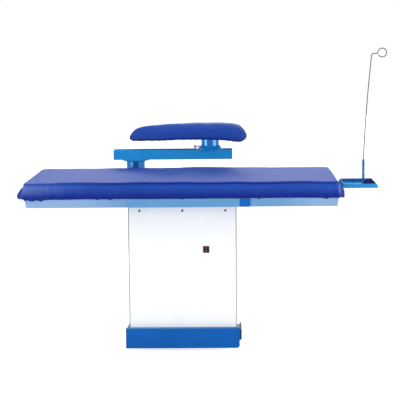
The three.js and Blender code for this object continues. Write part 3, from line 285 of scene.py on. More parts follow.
class Finish:
    """One material: a principled shader and the nodes that give it detail."""

    def __init__(self, name, color, roughness, metallic=0, shine=0.5, **sockets):
        self.material = bpy.data.materials.new(name)
        self.material.use_nodes = True
        self.tree = self.material.node_tree
        self.shader = self.tree.nodes["Principled BSDF"]
        self.shader.inputs["Specular IOR Level"].default_value = shine
        self.feed(self.shader, base_color=color, roughness=roughness, metallic=metallic, **sockets)
        self.place = self.tree.nodes.new("ShaderNodeTexCoord").outputs["Object"]
        self.normal = None

    def put(self, socket, value):
        """Sets a socket to a value, or links it to another node's output."""
        if isinstance(value, bpy.types.NodeSocket):
            self.tree.links.new(value, socket)
        else:
            socket.default_value = value

    def feed(self, node, **inputs):
        for name, value in inputs.items():
            self.put(node.inputs[name.replace("_", " ").title()], value)

    def node(self, kind, **inputs):
        made = self.tree.nodes.new(kind)
        self.feed(made, **inputs)
        return made

    def stretch(self, scale):
        return self.node("ShaderNodeMapping", vector=self.place, scale=scale).outputs["Vector"]

    def noise(self, scale, detail=3, roughness=0.5, vector=None):
        made = self.node(
            "ShaderNodeTexNoise", vector=vector or self.place,
            scale=scale, detail=detail, roughness=roughness)
        return made.outputs["Fac"]

    def ramp(self, value, low, high, start=0, end=1):
        made = self.node("ShaderNodeMapRange", value=value, from_min=low, from_max=high,
                         to_min=start, to_max=end)
        return made.outputs["Result"]

    def maths(self, kind, first, second=0.0):
        made = self.tree.nodes.new("ShaderNodeMath")
        made.operation = kind
        self.put(made.inputs[0], first)
        self.put(made.inputs[1], second)
        return made.outputs["Value"]

    def mix_color(self, share, first, second):
        made = self.tree.nodes.new("ShaderNodeMix")
        made.data_type = "RGBA"
        for index, value in ((0, share), (6, first), (7, second)):  # 6 and 7 take colours
            self.put(made.inputs[index], value)
        return made.outputs[2]

    def painted_with(self, first, second, share):
        """Gives the shader a base colour mixed from two."""
        self.feed(self.shader, base_color=self.mix_color(share, first, second))

    def bump(self, height, distance, strength=1.0):
        """Adds a bump on top of those that are there already."""
        inputs = {"height": height, "distance": distance, "strength": strength}
        if self.normal is not None:
            inputs["normal"] = self.normal
        self.normal = self.node("ShaderNodeBump", **inputs).outputs["Normal"]
        self.feed(self.shader, normal=self.normal)


def shade(color, factor):
    return (*[min(1, c * factor) for c in color[:3]], 1)


def painted(name, color, roughness=0.4, mottle=0.05, coat=0, shine=0.08, middle=None):
    """Sprayed paint with faint clouds and orange peel, and painted shade over its middle if given.
    """
    made = Finish(name, color, roughness, shine=shine, coat_weight=coat, coat_roughness=0.06)
    clouds = made.ramp(made.noise(7, 4, 0.6), 0.3, 0.7)
    tone = made.mix_color(clouds, shade(color, 1 - mottle), shade(color, 1 + mottle))
    if middle:  # painted shade, full to 0.37 m from x = 0.1 and gone at 0.55 m
        along_x = made.node("ShaderNodeSeparateXYZ", vector=made.place).outputs["X"]
        away = made.maths("ABSOLUTE", made.maths("SUBTRACT", along_x, 0.1))
        tone = made.mix_color(made.ramp(away, 0.37, 0.55, 0.9, 0), tone, middle)
    gloss = made.ramp(made.noise(26, 5, 0.65), 0.3, 0.7, roughness - 0.06, roughness + 0.08)
    made.feed(made.shader, base_color=tone, roughness=gloss)
    made.bump(made.noise(520, 2), 0.00006, 0.5)
    made.bump(made.noise(38, 2), 0.00024, 0.25)
    return made.material


def worn_edge(name, color, bare=(0.5, 0.5, 0.52, 1), shine=0.14):
    """Paint on a rounded edge: thinner and lighter, with small chips."""
    made = Finish(name, color, 0.3, shine=shine)
    chips = made.ramp(made.noise(140, 6, 0.75), 0.66, 0.7)
    thin = made.ramp(made.noise(45, 4, 0.6), 0.35, 0.7)
    light = made.mix_color(thin, shade(color, 0.97), shade(color, 1.2))
    made.painted_with(light, bare, made.maths("MULTIPLY", chips, 0.5))
    made.feed(made.shader, roughness=made.ramp(thin, 0, 1, 0.26, 0.42))
    return made.material


def metal(name, color, roughness, grain=(1, 1, 30), streak=0.12, metallic=1.0):
    """Bare metal or metallic lacquer, its streaks drawn out along the grain."""
    made = Finish(name, color, roughness, metallic)
    streaks = made.noise(60, 4, 0.6, made.stretch(grain))
    low, high = max(0.03, roughness - streak), roughness + streak
    made.feed(made.shader, roughness=made.ramp(streaks, 0.3, 0.7, low, high))
    clouds = made.ramp(made.noise(18, 4), 0.35, 0.65)
    made.painted_with(shade(color, 0.88), shade(color, 1.08), clouds)
    made.bump(streaks, 0.00004, 0.4)
    return made.material


def galvanised(name):
    """Zinc sheet with its spangle."""
    made = Finish(name, (0.5, 0.53, 0.55, 1), 0.42, 0.9)
    cells = made.node("ShaderNodeTexVoronoi", scale=90, vector=made.place)
    tone = made.maths("FRACT", made.maths("MULTIPLY", cells.outputs["Color"], 3.7))
    made.painted_with((0.40, 0.43, 0.46, 1), (0.62, 0.65, 0.67, 1), tone)
    made.feed(made.shader, roughness=made.ramp(tone, 0, 1, 0.32, 0.5))
    return made.material


def moulded(name, color, roughness, speckle=0.00005, shine=0.12):
    """Moulded plastic or rubber with a fine spark-eroded grain."""
    made = Finish(name, color, roughness, shine=shine)
    made.painted_with(shade(color, 0.85), shade(color, 1.15), made.noise(60, 3))
    gloss = made.ramp(made.noise(210, 3), 0.3, 0.7, roughness - 0.07, roughness + 0.08)
    made.feed(made.shader, roughness=gloss)
    made.bump(made.noise(900, 2), speckle, 0.6)
    return made.material


def woven(name, color):
    """Plain-weave cotton: threads each way, slubs and a bloom, with its painted shade and painted
    highlight.
    """
    made = Finish(name, color, 0.56, shine=0.12, sheen_weight=0.047, sheen_roughness=0.35,
                  sheen_tint=(0.55, 0.65, 1, 1))
    threads = 1 / 0.0011 / 3.1416
    waves = []
    for direction in ("X", "Y", "Z"):
        wave = made.node("ShaderNodeTexWave", vector=made.place, scale=threads,
                         distortion=0.6, detail_scale=60)
        wave.bands_direction = direction
        waves.append(wave.outputs["Fac"])
    weave = made.maths("ADD", made.maths("ADD", waves[0], waves[1]), waves[2])
    slub_along = made.noise(55, 3, 0.6, made.stretch((1, 14, 14)))
    slub_across = made.noise(55, 3, 0.6, made.stretch((14, 1, 14)))
    slubs = made.maths("ADD", slub_along, slub_across)
    clouds = made.ramp(made.noise(5, 4, 0.6), 0.3, 0.7)
    base = made.mix_color(clouds, shade(color, 0.9), shade(color, 1.12))
    thread_color = made.mix_color(made.ramp(slubs, 0.75, 1.3, 0, 0.3), base, shade(color, 1.5))
    sewn = made.mix_color(made.ramp(weave, 0.2, 1.6, 0.22, 0), thread_color, shade(color, 0.55))
    shadow, fade = (made.tree.nodes.new("ShaderNodeAttribute") for _ in range(2))
    shadow.attribute_name, fade.attribute_name = "shadow", "fade"
    # painted highlight from one attribute, then painted shade from the other
    faded = made.mix_color(fade.outputs["Fac"], sewn, CLOTH_HIGHLIGHT)
    made.painted_with(faded, CLOTH_SHADE, shadow.outputs["Fac"])
    made.bump(weave, 0.00016, 0.6)
    made.bump(slubs, 0.0002, 0.35)
    return made.material


def foamed(name):
    """Open-celled foam, rough and yellow."""
    made = Finish(name, (0.78, 0.70, 0.44, 1), 0.95)
    made.bump(made.noise(420, 4, 0.7), 0.0005, 0.8)
    made.painted_with((0.62, 0.54, 0.32, 1), (0.86, 0.79, 0.52, 1), made.noise(300, 4))
    return made.material


PAN_BLUE = linear(130, 162, 200)
# the pan's blue in painted shade, for its middle
PAN_SHADED = linear(100, 144, 190)
COLLAR_BLUE = linear(92, 144, 192)
DEEP_BLUE = linear(12, 92, 178)
PEDAL_BLUE = linear(13, 89, 168)
ARM_BLUE = linear(42, 144, 208)
# darker than the arm's blue for the shade the arm casts on the post: painted shade
POST_BLUE = linear(46, 106, 160)
NECK_BLUE = linear(54, 98, 168)
FLANGE_BLUE = linear(16, 130, 206)
TRAY_BLUE = linear(40, 128, 190)
SOCKET_BLUE = linear(26, 116, 172)
CLOTH_BLUE = linear(26, 65, 152)
# the cloth's colour in painted shade
CLOTH_SHADE = linear(3, 30, 124)
# the cloth's painted highlight colour
CLOTH_HIGHLIGHT = linear(160, 172, 212)
WHITE = linear(243, 243, 244)

# A finish for each slot of the record, and others for single pieces
FINISH = {
    "cabinet_white": painted("cabinet_paint", WHITE, 0.34, 0.012),
    "pan_pale_blue": painted("pan_paint", PAN_BLUE, 0.4, 0.03, middle=PAN_SHADED),
    "collar_blue": painted("collar_paint", COLLAR_BLUE, 0.4, 0.03),
    "strong_blue": painted("deep_blue_paint", DEEP_BLUE),
    "pedal_blue": painted("pedal_paint", PEDAL_BLUE, 0.38, 0.07),
    # the pedal's blue made darker for its arms: painted shade
    "pedal_arm": painted("pedal_arm_shaded_paint", linear(16, 60, 112), 0.38, 0.07),
    # the pedal's blue made lighter for its flange's top faces: painted light
    "pedal_lit_top": painted("pedal_lit_top_paint", linear(66, 124, 172), 0.5, 0.12),
    "arm_blue": painted("arm_paint", ARM_BLUE, shine=0),
    "post": metal("post_lacquer", POST_BLUE, 0.3, (1, 1, 1), 0.03),
    "neck_blue": metal("neck_lacquer", NECK_BLUE, 0.2, (1, 1, 1), 0.03),
    "flange": painted("flange_paint", FLANGE_BLUE, 0.35, 0.04, 0.2),
    "tray_blue": painted("tray_paint", TRAY_BLUE, 0.5),
    "socket": painted("socket_paint", SOCKET_BLUE),
    "bright_steel": metal("bright_steel", (0.56, 0.57, 0.59, 1), 0.3),
    "wire": metal("spring_wire", (0.05, 0.045, 0.07, 1), 0.45, (1, 1, 6), 0.12, 0.1),
    "chrome": metal("plated_steel", (0.74, 0.75, 0.78, 1), 0.14, (4, 4, 4), 0.06),
    "dark": metal("blackened_steel", (0.03, 0.03, 0.035, 1), 0.4, (4, 4, 4), 0.08, 0.4),
    "motor_grey": metal("motor_casting", (0.10, 0.12, 0.14, 1), 0.55, (1, 1, 1), 0.1, 0.3),
    "galvanised": galvanised("zinc_sheet"),
    "gasket_grey": moulded("gasket_rubber", linear(150, 142, 136), 0.8),
    "black_rubber": moulded("pad_rubber", linear(8, 10, 84), 0.9, 0.0001, 0.02),
    "black_plastic": moulded("black_plastic", (0.018, 0.018, 0.02, 1), 0.42),
    "grey_plastic": moulded("grey_plastic", (0.30, 0.30, 0.31, 1), 0.5),
    "red_plastic": moulded("red_plastic", linear(66, 15, 19), 0.3),
    "mark": moulded("mark_ink", linear(225, 225, 225), 0.5),
    "cloth_blue": woven("cover_cloth", CLOTH_BLUE),
    "foam": foamed("foam"),
}
EDGE_FINISH = {
    "cabinet_white": worn_edge("cabinet_edge", WHITE, (0.6, 0.6, 0.62, 1)),
    "pan_pale_blue": worn_edge("pan_edge", PAN_BLUE),
    "collar_blue": worn_edge("collar_edge", COLLAR_BLUE),
    "strong_blue": worn_edge("deep_blue_edge", DEEP_BLUE),
    "pedal_blue": worn_edge("pedal_edge", PEDAL_BLUE),
    "arm_blue": worn_edge("arm_edge", ARM_BLUE, shine=0),
    "tray_blue": worn_edge("tray_edge", TRAY_BLUE),
}
for node, slot in SLOT_OF.items():
    dress(frame["nodes"][node], FINISH[slot])


# Sheet metal

# The radius of each piece's rounded edges
FILLETS = {
    "cabinet_shell": 0.0012, "front_panel": 0.0012, "base_pan": 0.0012, "head_frame": 0.001,
    "suction_pan": 0.0009, "pan_collar": 0.0009, "pan_bracket": 0.0015, "board_frame": 0.0009,
    "pedal_plate": 0.0013, "pedal_arm_left": 0.0015, "pedal_arm_right": 0.0015,
    "post_duct": 0.0015, "post_gusset": 0.0012, "swing_arm_tube": 0.0012,
    "arm_cap_left": 0.001, "arm_cap_right": 0.001, "iron_tray": 0.0009,
    "tray_bracket_front": 0.0012, "tray_bracket_rear": 0.0012, "switch_bezel": 0.0008,
    "control_box": 0.003, "exhaust_flange": 0.001, "iron_rest_pad": 0.0018,
    "panel_gasket": 0.0004, "suction_duct": 0.0007, "damper_flap": 0.0008,
    "damper_crank": 0.0008, "link_rod": 0.0006, "fan_housing": 0.0009, "fan_shelf": 0.0009,
    "exhaust_duct": 0.0009, "pedal_lever": 0.0009, "pedal_bearing_left": 0.0009,
    "pedal_bearing_right": 0.0009, "buck_base_plate": 0.0006, "fan_impeller": 0.0004,
    "perforated_plate": 0.0003,
}
UNLIKE_SLOT = {  # pieces with another finish than their slot's
    # the pedal arms take a darker copy of the pedal's paint: painted shade
    "pedal_arm_left": "pedal_arm", "pedal_arm_right": "pedal_arm",
    "damper_flap": "galvanised", "perforated_plate": "galvanised",
    "pedal_lever": "strong_blue", "fan_impeller": "bright_steel",
}
PEDAL_FLANGE = 0.117  # the height over which the pedal's faces are its flange

for node, fillet in FILLETS.items():
    slot = UNLIKE_SLOT.get(node, SLOT_OF[node])
    piece = rounded(node, fillet, FINISH[slot], EDGE_FINISH.get(slot, FINISH[slot]))
    if node == "pedal_plate":  # the flange's upward faces take a lighter paint: painted light from above
        piece.data.materials.append(FINISH["pedal_lit_top"])
        for polygon in piece.data.polygons:
            if polygon.normal.z > 0.5 and polygon.center.z > PEDAL_FLANGE:
                polygon.material_index = 2
    finish_piece(piece, node)


# Table cover

BOARD_LEFT, BOARD_RIGHT = -0.749, 0.743
BOARD_HALF = 0.375
BOARD_TOP = 0.851
CORNERS = (  # x, y, radius and the angle at which its arc starts
    (BOARD_RIGHT, -BOARD_HALF, 0.014, -90),
    (BOARD_RIGHT, BOARD_HALF, 0.026, 0),
    (BOARD_LEFT, BOARD_HALF, 0.028, 90),
    (BOARD_LEFT, -BOARD_HALF, 0.014, 180),
)
THREAD_STEP = 0.0075  # between the points along the seam
COVER_DROP = 0.076  # from the board's top to the hem
CLOTH_THICK = 0.0016
SEWN = 0.0004  # points of a cover that are closer than this become one
CREST_DROP = 0.0024  # how far the padded edge rounds down, and how far in that starts
CREST_REACH = 0.007

# Heights along the board in mm, every 45 mm from near its left end: the crest over the
# nominal top at the front and the rear, and the hem over its nominal height
STATION_START, STATION_STEP = -0.72, 0.045
FRONT_CREST = (
    -0.4, 0, 0.8, 2.6, 3.5, 3.4, 3.6, 3, 2, 2.1, 2.6, 3.5, 3.7, 3.2, 2.5, 2.6, 3, 2.8,
    1.8, 1.6, 1.6, 2.2, 2.6, 1.2, 0.5, 0.5, 1.2, 2.3, 2.6, 2.6, 1.4, -0.2, -0.5)
REAR_CREST = (
    0.6, 0.6, 0.6, 0.8, 0.6, 0.8, 0.8, 2.2, 2.8, 2.8, 2.8, 2.6, 1.6, 1, 1, 1.6, 4.4, 5.6,
    5.5, 5, 3.8, 2, 1.7, 1.6, 1.2, 0.8, 0.3, 0, 0, 0, -0.2, -0.3, -0.4)
FRONT_HEM = (
    -4.6, -4, -2, -1.7, -1.5, -0.9, -0.4, -0.6, -1.6, 0, 0, -0.2, -0.6, -1, -0.7, -0.6,
    -0.9, -0.9, -0.9, 0, -0.2, 0, -0.6, -0.9, -0.1, -0.2, -0.1, -0.3, -0.7, -0.8, -1.3, -2.6, -2.2)

# How far the skirt stands out in mm, at the same shares of its drop as in the solid
DROP_SHARES = (0, 0.08, 0.3, 0.55, 0.8, 1)
LEFT_OUT = (0, 4, 8, 32, 43, 38)
RIGHT_OUT = (0, 3, 13, 26, 27, 25)
FRONT_OUT = (0, 3, 7, 8, 3.5, -3)
REAR_OUT = (0, 3, 6, 7, 3.5, -3)


def paint_points(obj, **rules):
    """Stores a number at each point for the cloth's material, by a rule for its place."""
    for name, rule in rules.items():
        numbers = obj.data.attributes.new(name, "FLOAT", "POINT")
        numbers.data.foreach_set("value", [rule(v.co) for v in obj.data.vertices])


def hold(obj, weight_at):
    """Holds each point for the simulation by the weight that a rule gives for its place."""
    held = obj.vertex_groups.new(name="held")
    for vertex in obj.data.vertices:
        weight = weight_at(vertex.co)
        if weight:
            held.add([vertex.index], weight, "REPLACE")


CLOTH_FRAMES = 20
CLOTH_SETTINGS = {
    "quality": 5, "mass": 0.2, "tension_stiffness": 12, "compression_stiffness": 12,
    "shear_stiffness": 6, "bending_stiffness": 0.15, "vertex_group_mass": "held",
    "shrink_min": -0.02, "use_pressure": True, "uniform_pressure_force": 0.6,
}


def relax(obj, reach):
    """Lets a held cloth settle into soft wrinkles, each point within a small reach."""
    select_only(obj)
    modifier = obj.modifiers.new("cloth", "CLOTH")
    for name, value in CLOTH_SETTINGS.items():
        setattr(modifier.settings, name, value)
    modifier.settings.effector_weights.gravity = 0
    modifier.collision_settings.use_collision = False
    modifier.point_cache.frame_start = 1
    modifier.point_cache.frame_end = CLOTH_FRAMES
    for number in range(1, CLOTH_FRAMES + 1):
        scene.frame_set(number)
    settled = obj.evaluated_get(bpy.context.evaluated_depsgraph_get()).data
    moved = [vertex.co.copy() for vertex in settled.vertices]
    obj.modifiers.remove(modifier)
    for vertex, place in zip(obj.data.vertices, moved):
        step = place - vertex.co
        if step.length > reach:
            step *= reach / step.length
        vertex.co += step
    scene.frame_set(1)


def finish_cover(obj, node, reach, **rules):
    """Relaxes a cover, marks where shade and light are painted on it, gives it its thickness and
    puts it in place.
    """
    relax(obj, reach)
    paint_points(obj, **rules)
    add_modifier(obj, "SOLIDIFY", thickness=CLOTH_THICK, offset=-1)
    complete(obj, node, "cloth_blue", 60)


def clamp(value, low=0, high=1):
    return min(max(value, low), high)


def ease(share):
    """A share that starts and ends gently."""
    return share * share * (3 - 2 * share)


def hump(value, middle, reach):
    return math.exp(-((value - middle) / reach) ** 2)


def between(shares, values, share):
    """A smooth value between listed ones."""
    share = clamp(share, shares[0], shares[-1])
    for i in range(len(shares) - 1):
        if share <= shares[i + 1]:
            before, after = max(i - 1, 0), min(i + 2, len(shares) - 1)
            span = shares[i + 1] - shares[i]
            t = (share - shares[i]) / span
            slope_in = (values[i + 1] - values[before]) / (shares[i + 1] - shares[before]) * span
            slope_out = (values[after] - values[i]) / (shares[after] - shares[i]) * span
            return (values[i] * (1 + 2 * t) * (1 - t) ** 2 + slope_in * t * (1 - t) ** 2
                    + values[i + 1] * t * t * (3 - 2 * t) - slope_out * t * t * (1 - t))
    return values[-1]


def seam_outline():
    """Points along the seam, each with its place, its outward direction and its arc length."""
    outline = []
    walked = 0.0

    def put(place, out):
        nonlocal walked
        if outline:
            walked += (place - outline[-1][0]).length
        outline.append((place, out, walked))

    for index, (x, y, radius, start) in enumerate(CORNERS):
        centre = Vector((x - math.copysign(radius, x), y - math.copysign(radius, y)))
        for step in range(7):
            angle = math.radians(start + 15 * step)
            out = Vector((math.cos(angle), math.sin(angle)))
            put(centre + out * radius, out)
        next_x, next_y, next_radius, _ = CORNERS[(index + 1) % 4]
        out = outline[-1][1]
        end = Vector((next_x - math.copysign(next_radius, next_x),
                      next_y - math.copysign(next_radius, next_y))) + out * next_radius
        begin = outline[-1][0]
        steps = round((end - begin).length / THREAD_STEP)
        for step in range(1, steps):
            put(begin.lerp(end, step / steps), out)
    return outline


def ripple(walk, *waves):
    """A sum of waves, each a length, a height and a phase."""
    return sum(height * math.sin(2 * math.pi * walk / length + phase)
               for length, height, phase in waves)


def along(heights, x):
    """A height in metres at a place along the board."""
    place = clamp((x - STATION_START) / STATION_STEP, 0, len(heights) - 1.001)
    index = int(place)
    share = ease(place - index)
    return (heights[index] * (1 - share) + heights[index + 1] * share) * MM


def crest(x, y):
    """How far the padded top stands over its nominal height."""
    depth = (y + BOARD_HALF) / (2 * BOARD_HALF)
    return along(FRONT_CREST, x) * (1 - depth) + along(REAR_CREST, x) * depth


# Tucks in the front hem: where they are, how deep and how wide
TUCKS = (
    (-0.709, 0.004, 0.012), (-0.668, 0.005, 0.009), (-0.401, 0.003, 0.007),
    (-0.337, 0.004, 0.008), (0.004, 0.003, 0.008), (0.368, 0.004, 0.008), (0.686, 0.004, 0.009))


def skirt_point(place, out, walk, share):
    """A point of the skirt at a share of its drop."""
    corner_y = -BOARD_HALF + CORNERS[0][2]
    left, front = out.x < 0, out.y < -0.5
    tight = 1 - 0.45 * hump(place.y, corner_y, 0.08 if left else 0.02)
    end = between(DROP_SHARES, LEFT_OUT if left else RIGHT_OUT, share) * tight
    side = between(DROP_SHARES, FRONT_OUT if out.y < 0 else REAR_OUT, share)
    reach = (end * out.x ** 2 + side * out.y ** 2) * MM
    loose = ease(share)
    if front:  # soft waves left of the cabinet
        full = 0.0035 * share * (1 - share) * hump(place.x, -0.55, 0.2)
        reach += full * ripple(walk, (0.083, 0.6, 0.4), (0.036, 0.4, 2))
    reach += loose * ripple(walk, (0.083, 0.0006, 1.0), (0.047, 0.0004, 2.2), (0.131, 0.0009, 0.4))
    # A fuller fold near the front of the right end, and gathers at both ends
    reach += 0.008 * max(0.0, out.x) * hump(place.y, -0.3, 0.05) * loose
    gather = 1.5 * max(0.0, -out.x) * hump(place.y, -0.32, 0.12) + 0.3 * abs(out.x)
    reach += gather * loose * ripple(walk, (0.024, 0.0026, 0.3), (0.041, 0.0026, 1.7))
    z = BOARD_TOP - CREST_DROP + crest(place.x, place.y) * (1 - share)
    z -= share * (COVER_DROP + 0.001 - CREST_DROP)
    if front:
        z += along(FRONT_HEM, place.x) * share
        for middle, depth, width in TUCKS:
            tuck = hump(place.x, middle, width) * share ** 6
            reach -= depth * tuck * 0.5
            z -= depth * tuck * 1.2
    else:
        z += loose * ripple(walk, (0.3, 0.0012, 0.8), (0.11, 0.0008, 2.9))
        z -= 0.009 * loose * max(0.0, out.x) * hump(place.y, -0.31, 0.05)
    # The seam and the hem's stitching draw in, and the hem is thicker
    reach -= 0.0012 * hump(share, 0.11, 0.02) + 0.0011 * hump(share, 0.862, 0.011)
    reach += 0.0012 * hump(share, 0.935, 0.04)
    return Vector((place.x + out.x * reach, place.y + out.y * reach, z))


def top_point(place, inset):
    """A point of the top, drawn in from the seam, on a faintly uneven surface."""
    middle_x = (BOARD_LEFT + BOARD_RIGHT) / 2
    half_x = (BOARD_RIGHT - BOARD_LEFT) / 2
    x = middle_x + (place.x - middle_x) * (1 - inset / half_x)
    y = place.y * (1 - inset / BOARD_HALF)
    lift = 0.0004 * math.sin(x * 17 + y * 9) + 0.0003 * math.sin(x * 41 - y * 23 + 1)
    lift += 0.0003 * math.sin(y * 60 + math.sin(x * 12) * 2) * hump(inset, 0.03, 0.05)
    edge = max(0.0, 1 - inset / CREST_REACH)
    z = BOARD_TOP - CREST_DROP * (1 - math.sqrt(1 - edge * edge)) + crest(x, y) + lift * (1 - edge)
    return Vector((x, y, z))


def skirt_shadow(point):
    """Where the skirt lies in its own shade: under the crest, and down its lower half."""
    share = (BOARD_TOP + crest(point.x, point.y) - CREST_DROP - point.z) / COVER_DROP
    middle = 1 - 0.8 * hump(point.x, BOARD_LEFT, 0.33) - 0.25 * hump(point.x, BOARD_RIGHT, 0.2)
    line = 0.95 * middle * hump(share, 0.07, 0.075)
    low = clamp((share - 0.28) / 0.55)
    right_end = clamp((point.x - BOARD_RIGHT - 0.013) / 0.005)
    left_end = clamp((BOARD_LEFT - 0.002 - point.x) / 0.008) * clamp((share - 0.1) / 0.2)
    return min(max(line, 0.95 * low ** 1.2, right_end, left_end), 1)


def skirt_fade(point):
    """Painted highlight on the cloth: towards the front's left end and at its right corner."""
    front = clamp((-0.33 - point.y) / 0.04)
    below = clamp((BOARD_TOP - 0.002 - point.z) / 0.012)
    corner = 0.45 * hump(point.x, BOARD_RIGHT + 0.006, 0.0035)
    return front * below * (0.17 * hump(point.x, BOARD_LEFT, 0.17) + corner)


def ring_faces(rows, count):
    """The faces between closed rings of points."""
    faces = []
    for i in range(rows - 1):
        for j in range(count):
            k = (j + 1) % count
            faces.append((i * count + j, (i + 1) * count + j, (i + 1) * count + k, i * count + k))
    return faces


def table_cover():
    """The board's cover: a top drawn in rings from the seam, and the skirt below it."""
    outline = seam_outline()
    insets = (BOARD_HALF - 0.001, 0.3, 0.22, 0.15, 0.1, 0.065, 0.042, 0.027, 0.017, 0.01,
              0.006, 0.003, 0.001)
    shares = [0.008, 0.025, 0.045, 0.07, 0.09, 0.11, 0.13, 0.15]
    shares += [0.15 + 0.68 * i / 19 for i in range(1, 20)]
    shares += [0.845, 0.855, 0.862, 0.869, 0.878, 0.89, 0.91, 0.935, 0.96, 0.98, 0.992, 1]
    points = [top_point(place, inset) for inset in insets for place, _, _ in outline]
    points += [skirt_point(place, out, walk, share)
               for share in shares for place, out, walk in outline]
    count = len(outline)
    faces = ring_faces(len(insets) + len(shares), count)
    faces.append(tuple(reversed(range(count))))
    obj = from_points("table_cover_cloth", points, faces)
    outward(obj, SEWN)
    return obj


def board_hold(point):
    """The top and the crest are held, and the hem almost."""
    drop = (BOARD_TOP - point.z) / COVER_DROP
    return 1.0 if drop < 0.13 else 0.85 if drop > 0.93 else 0


cover = table_cover()
hold(cover, board_hold)
finish_cover(cover, "table_cover", 0.003, shadow=skirt_shadow, fade=skirt_fade)


# Buck cover

BUCK_LEFT, BUCK_RIGHT = -0.296, 0.321
BUCK_Y = 0.440
BUCK_HALF = 0.1
BUCK_TALL = 0.0865
BUCK_UNDER = 0.995

# The buck's half width, top and underside, as shares of BUCK_HALF and BUCK_TALL, at
# stations from its nose to its butt
STATIONS = (
    0.001, 0.004, 0.012, 0.03, 0.06, 0.11, 0.18, 0.28, 0.42,
    0.58, 0.72, 0.83, 0.9, 0.945, 0.975, 0.992, 0.997, 0.9995)
WIDTHS = (
    0.05, 0.1, 0.16, 0.27, 0.38, 0.48, 0.56, 0.65, 0.77,
    0.89, 0.97, 1, 0.97, 0.86, 0.66, 0.4, 0.25, 0.1)
CRESTS = (
    0.17, 0.25, 0.335, 0.532, 0.676, 0.786, 0.855, 0.917, 0.964,
    0.998, 0.994, 0.977, 0.919, 0.786, 0.595, 0.393, 0.32, 0.24)
KEELS = (
    0.1, 0.04, 0, -0.045, -0.058, -0.055, -0.05, -0.043, 0,
    0.008, 0, -0.058, -0.123, -0.14, -0.045, 0.06, 0.1, 0.15)
HEM_INSET = 0.03


def buck_ring(share, steps):
    """A section of the buck from hem to hem over the top, rounder above than below."""
    half = BUCK_HALF * between(STATIONS, WIDTHS, share)
    top = BUCK_UNDER + BUCK_TALL * between(STATIONS, CRESTS, share)
    bottom = BUCK_UNDER + BUCK_TALL * between(STATIONS, KEELS, share)
    waist = bottom + (top - bottom) * (0.42 - 0.17 * max(0.0, (share - 0.85) / 0.15))
    open_share = max(0.0, (half - HEM_INSET) / half)
    low = math.acos(open_share ** 2.5)
    x = BUCK_LEFT + (BUCK_RIGHT - BUCK_LEFT) * share
    ring = []
    for k in range(steps + 1):
        angle = -low + (math.pi + 2 * low) * k / steps
        sine, cosine = math.sin(angle), math.cos(angle)
        power = 2 / (2.8 if sine > 0 else 5)
        across = math.copysign(abs(cosine) ** power, cosine)
        rise = abs(sine) ** power
        z = waist + (top - waist) * rise if sine > 0 else waist - (waist - bottom) * rise
        under = max(0.0, -sine)
        pleat = under * (1 - abs(cosine)) * 0.0011 * math.sin(share * 95 + 2 * math.sin(share * 23))
        pleat += 0.0005 * math.sin(share * 31 + angle * 2) * max(0.0, sine + 0.3)
        ring.append(Vector((x, BUCK_Y - half * across * (1 + pleat * 4), z + pleat)))
    return ring


def buck_cover():
    """The buck's cover: rings from hem to hem, and a fan of faces at each end."""
    steps = 64
    count = steps + 1
    rings = 131
    first, last = STATIONS[0], STATIONS[-1]
    shares = [first + (last - first) * (0.5 - 0.5 * math.cos(math.pi * i / (rings - 1)))
              for i in range(rings)]
    points = [p for share in shares for p in buck_ring(share, steps)]
    faces = []
    for i in range(rings - 1):
        for j in range(steps):
            a = i * count + j
            faces.append((a, a + 1, a + count + 1, a + count))
    points.append(Vector((BUCK_LEFT, BUCK_Y, BUCK_UNDER + BUCK_TALL * 0.13)))
    points.append(Vector((BUCK_RIGHT, BUCK_Y, BUCK_UNDER + BUCK_TALL * 0.19)))
    end = (rings - 1) * count
    for j in range(steps):
        faces.append((len(points) - 2, j + 1, j))
        faces.append((len(points) - 1, end + j, end + j + 1))
    obj = from_points("buck_cover_cloth", points, faces)
    outward(obj, SEWN)
    return obj


def buck_shadow(point):
    """Where the buck's cover lies in its own shade: low down, along its edge, at its ends."""
    share = (point.z - BUCK_UNDER) / BUCK_TALL
    low = clamp((0.3 - share) / 0.4)
    above = share - between(STATIONS, KEELS, (point.x - BUCK_LEFT) / (BUCK_RIGHT - BUCK_LEFT))
    edge = clamp((0.12 - above) / 0.07)
    ends = hump(point.x, BUCK_LEFT, 0.014) + hump(point.x, BUCK_RIGHT, 0.012)
    return min(0.3 * low + 0.5 * ends + 0.9 * edge, 0.95)


def buck_hold(point):
    """Both ends and the hem are held."""
    near_end = min(point.x - BUCK_LEFT, BUCK_RIGHT - point.x) < 0.03
    return 1.0 if near_end or point.z < BUCK_UNDER + 0.008 else 0


buck = buck_cover()
hold(buck, buck_hold)
finish_cover(buck, "buck_cover", 0.0015, shadow=buck_shadow)


# Foam

def foam_piece(node, fillet, sag):
    """Foam with soft edges, its top pressed down a little by the cover."""
    piece = merged_copy(node)
    highest = max(vertex.co.z for vertex in piece.data.vertices)
    for vertex in piece.data.vertices:
        if vertex.co.z > highest - sag:
            vertex.co.z -= sag
    bevel(piece, fillet, 3)
    complete(piece, node, "foam", 50)


foam_piece("foam_pad", 0.002, 0.001)
foam_piece("buck_foam", 0.001, 0)


# Turned pieces

POST = (-0.265, BUCK_Y)
NECK = (0.128, BUCK_Y)
SOCKET = (0.895, 0.020)
LOCK_AT = Vector((0, BUCK_Y, 0.958))
POLE = 0.000001  # the radius that a closed end is drawn in to


def turned_piece(node, finish, profile, centre, axis="Z", sides=96, closed=True, degrees=35,
                 cutters=()):
    piece = turned(node + "_finished", profile, centre, sides, axis, closed)
    cut_with(piece, cutters)
    complete(piece, node, finish, degrees)


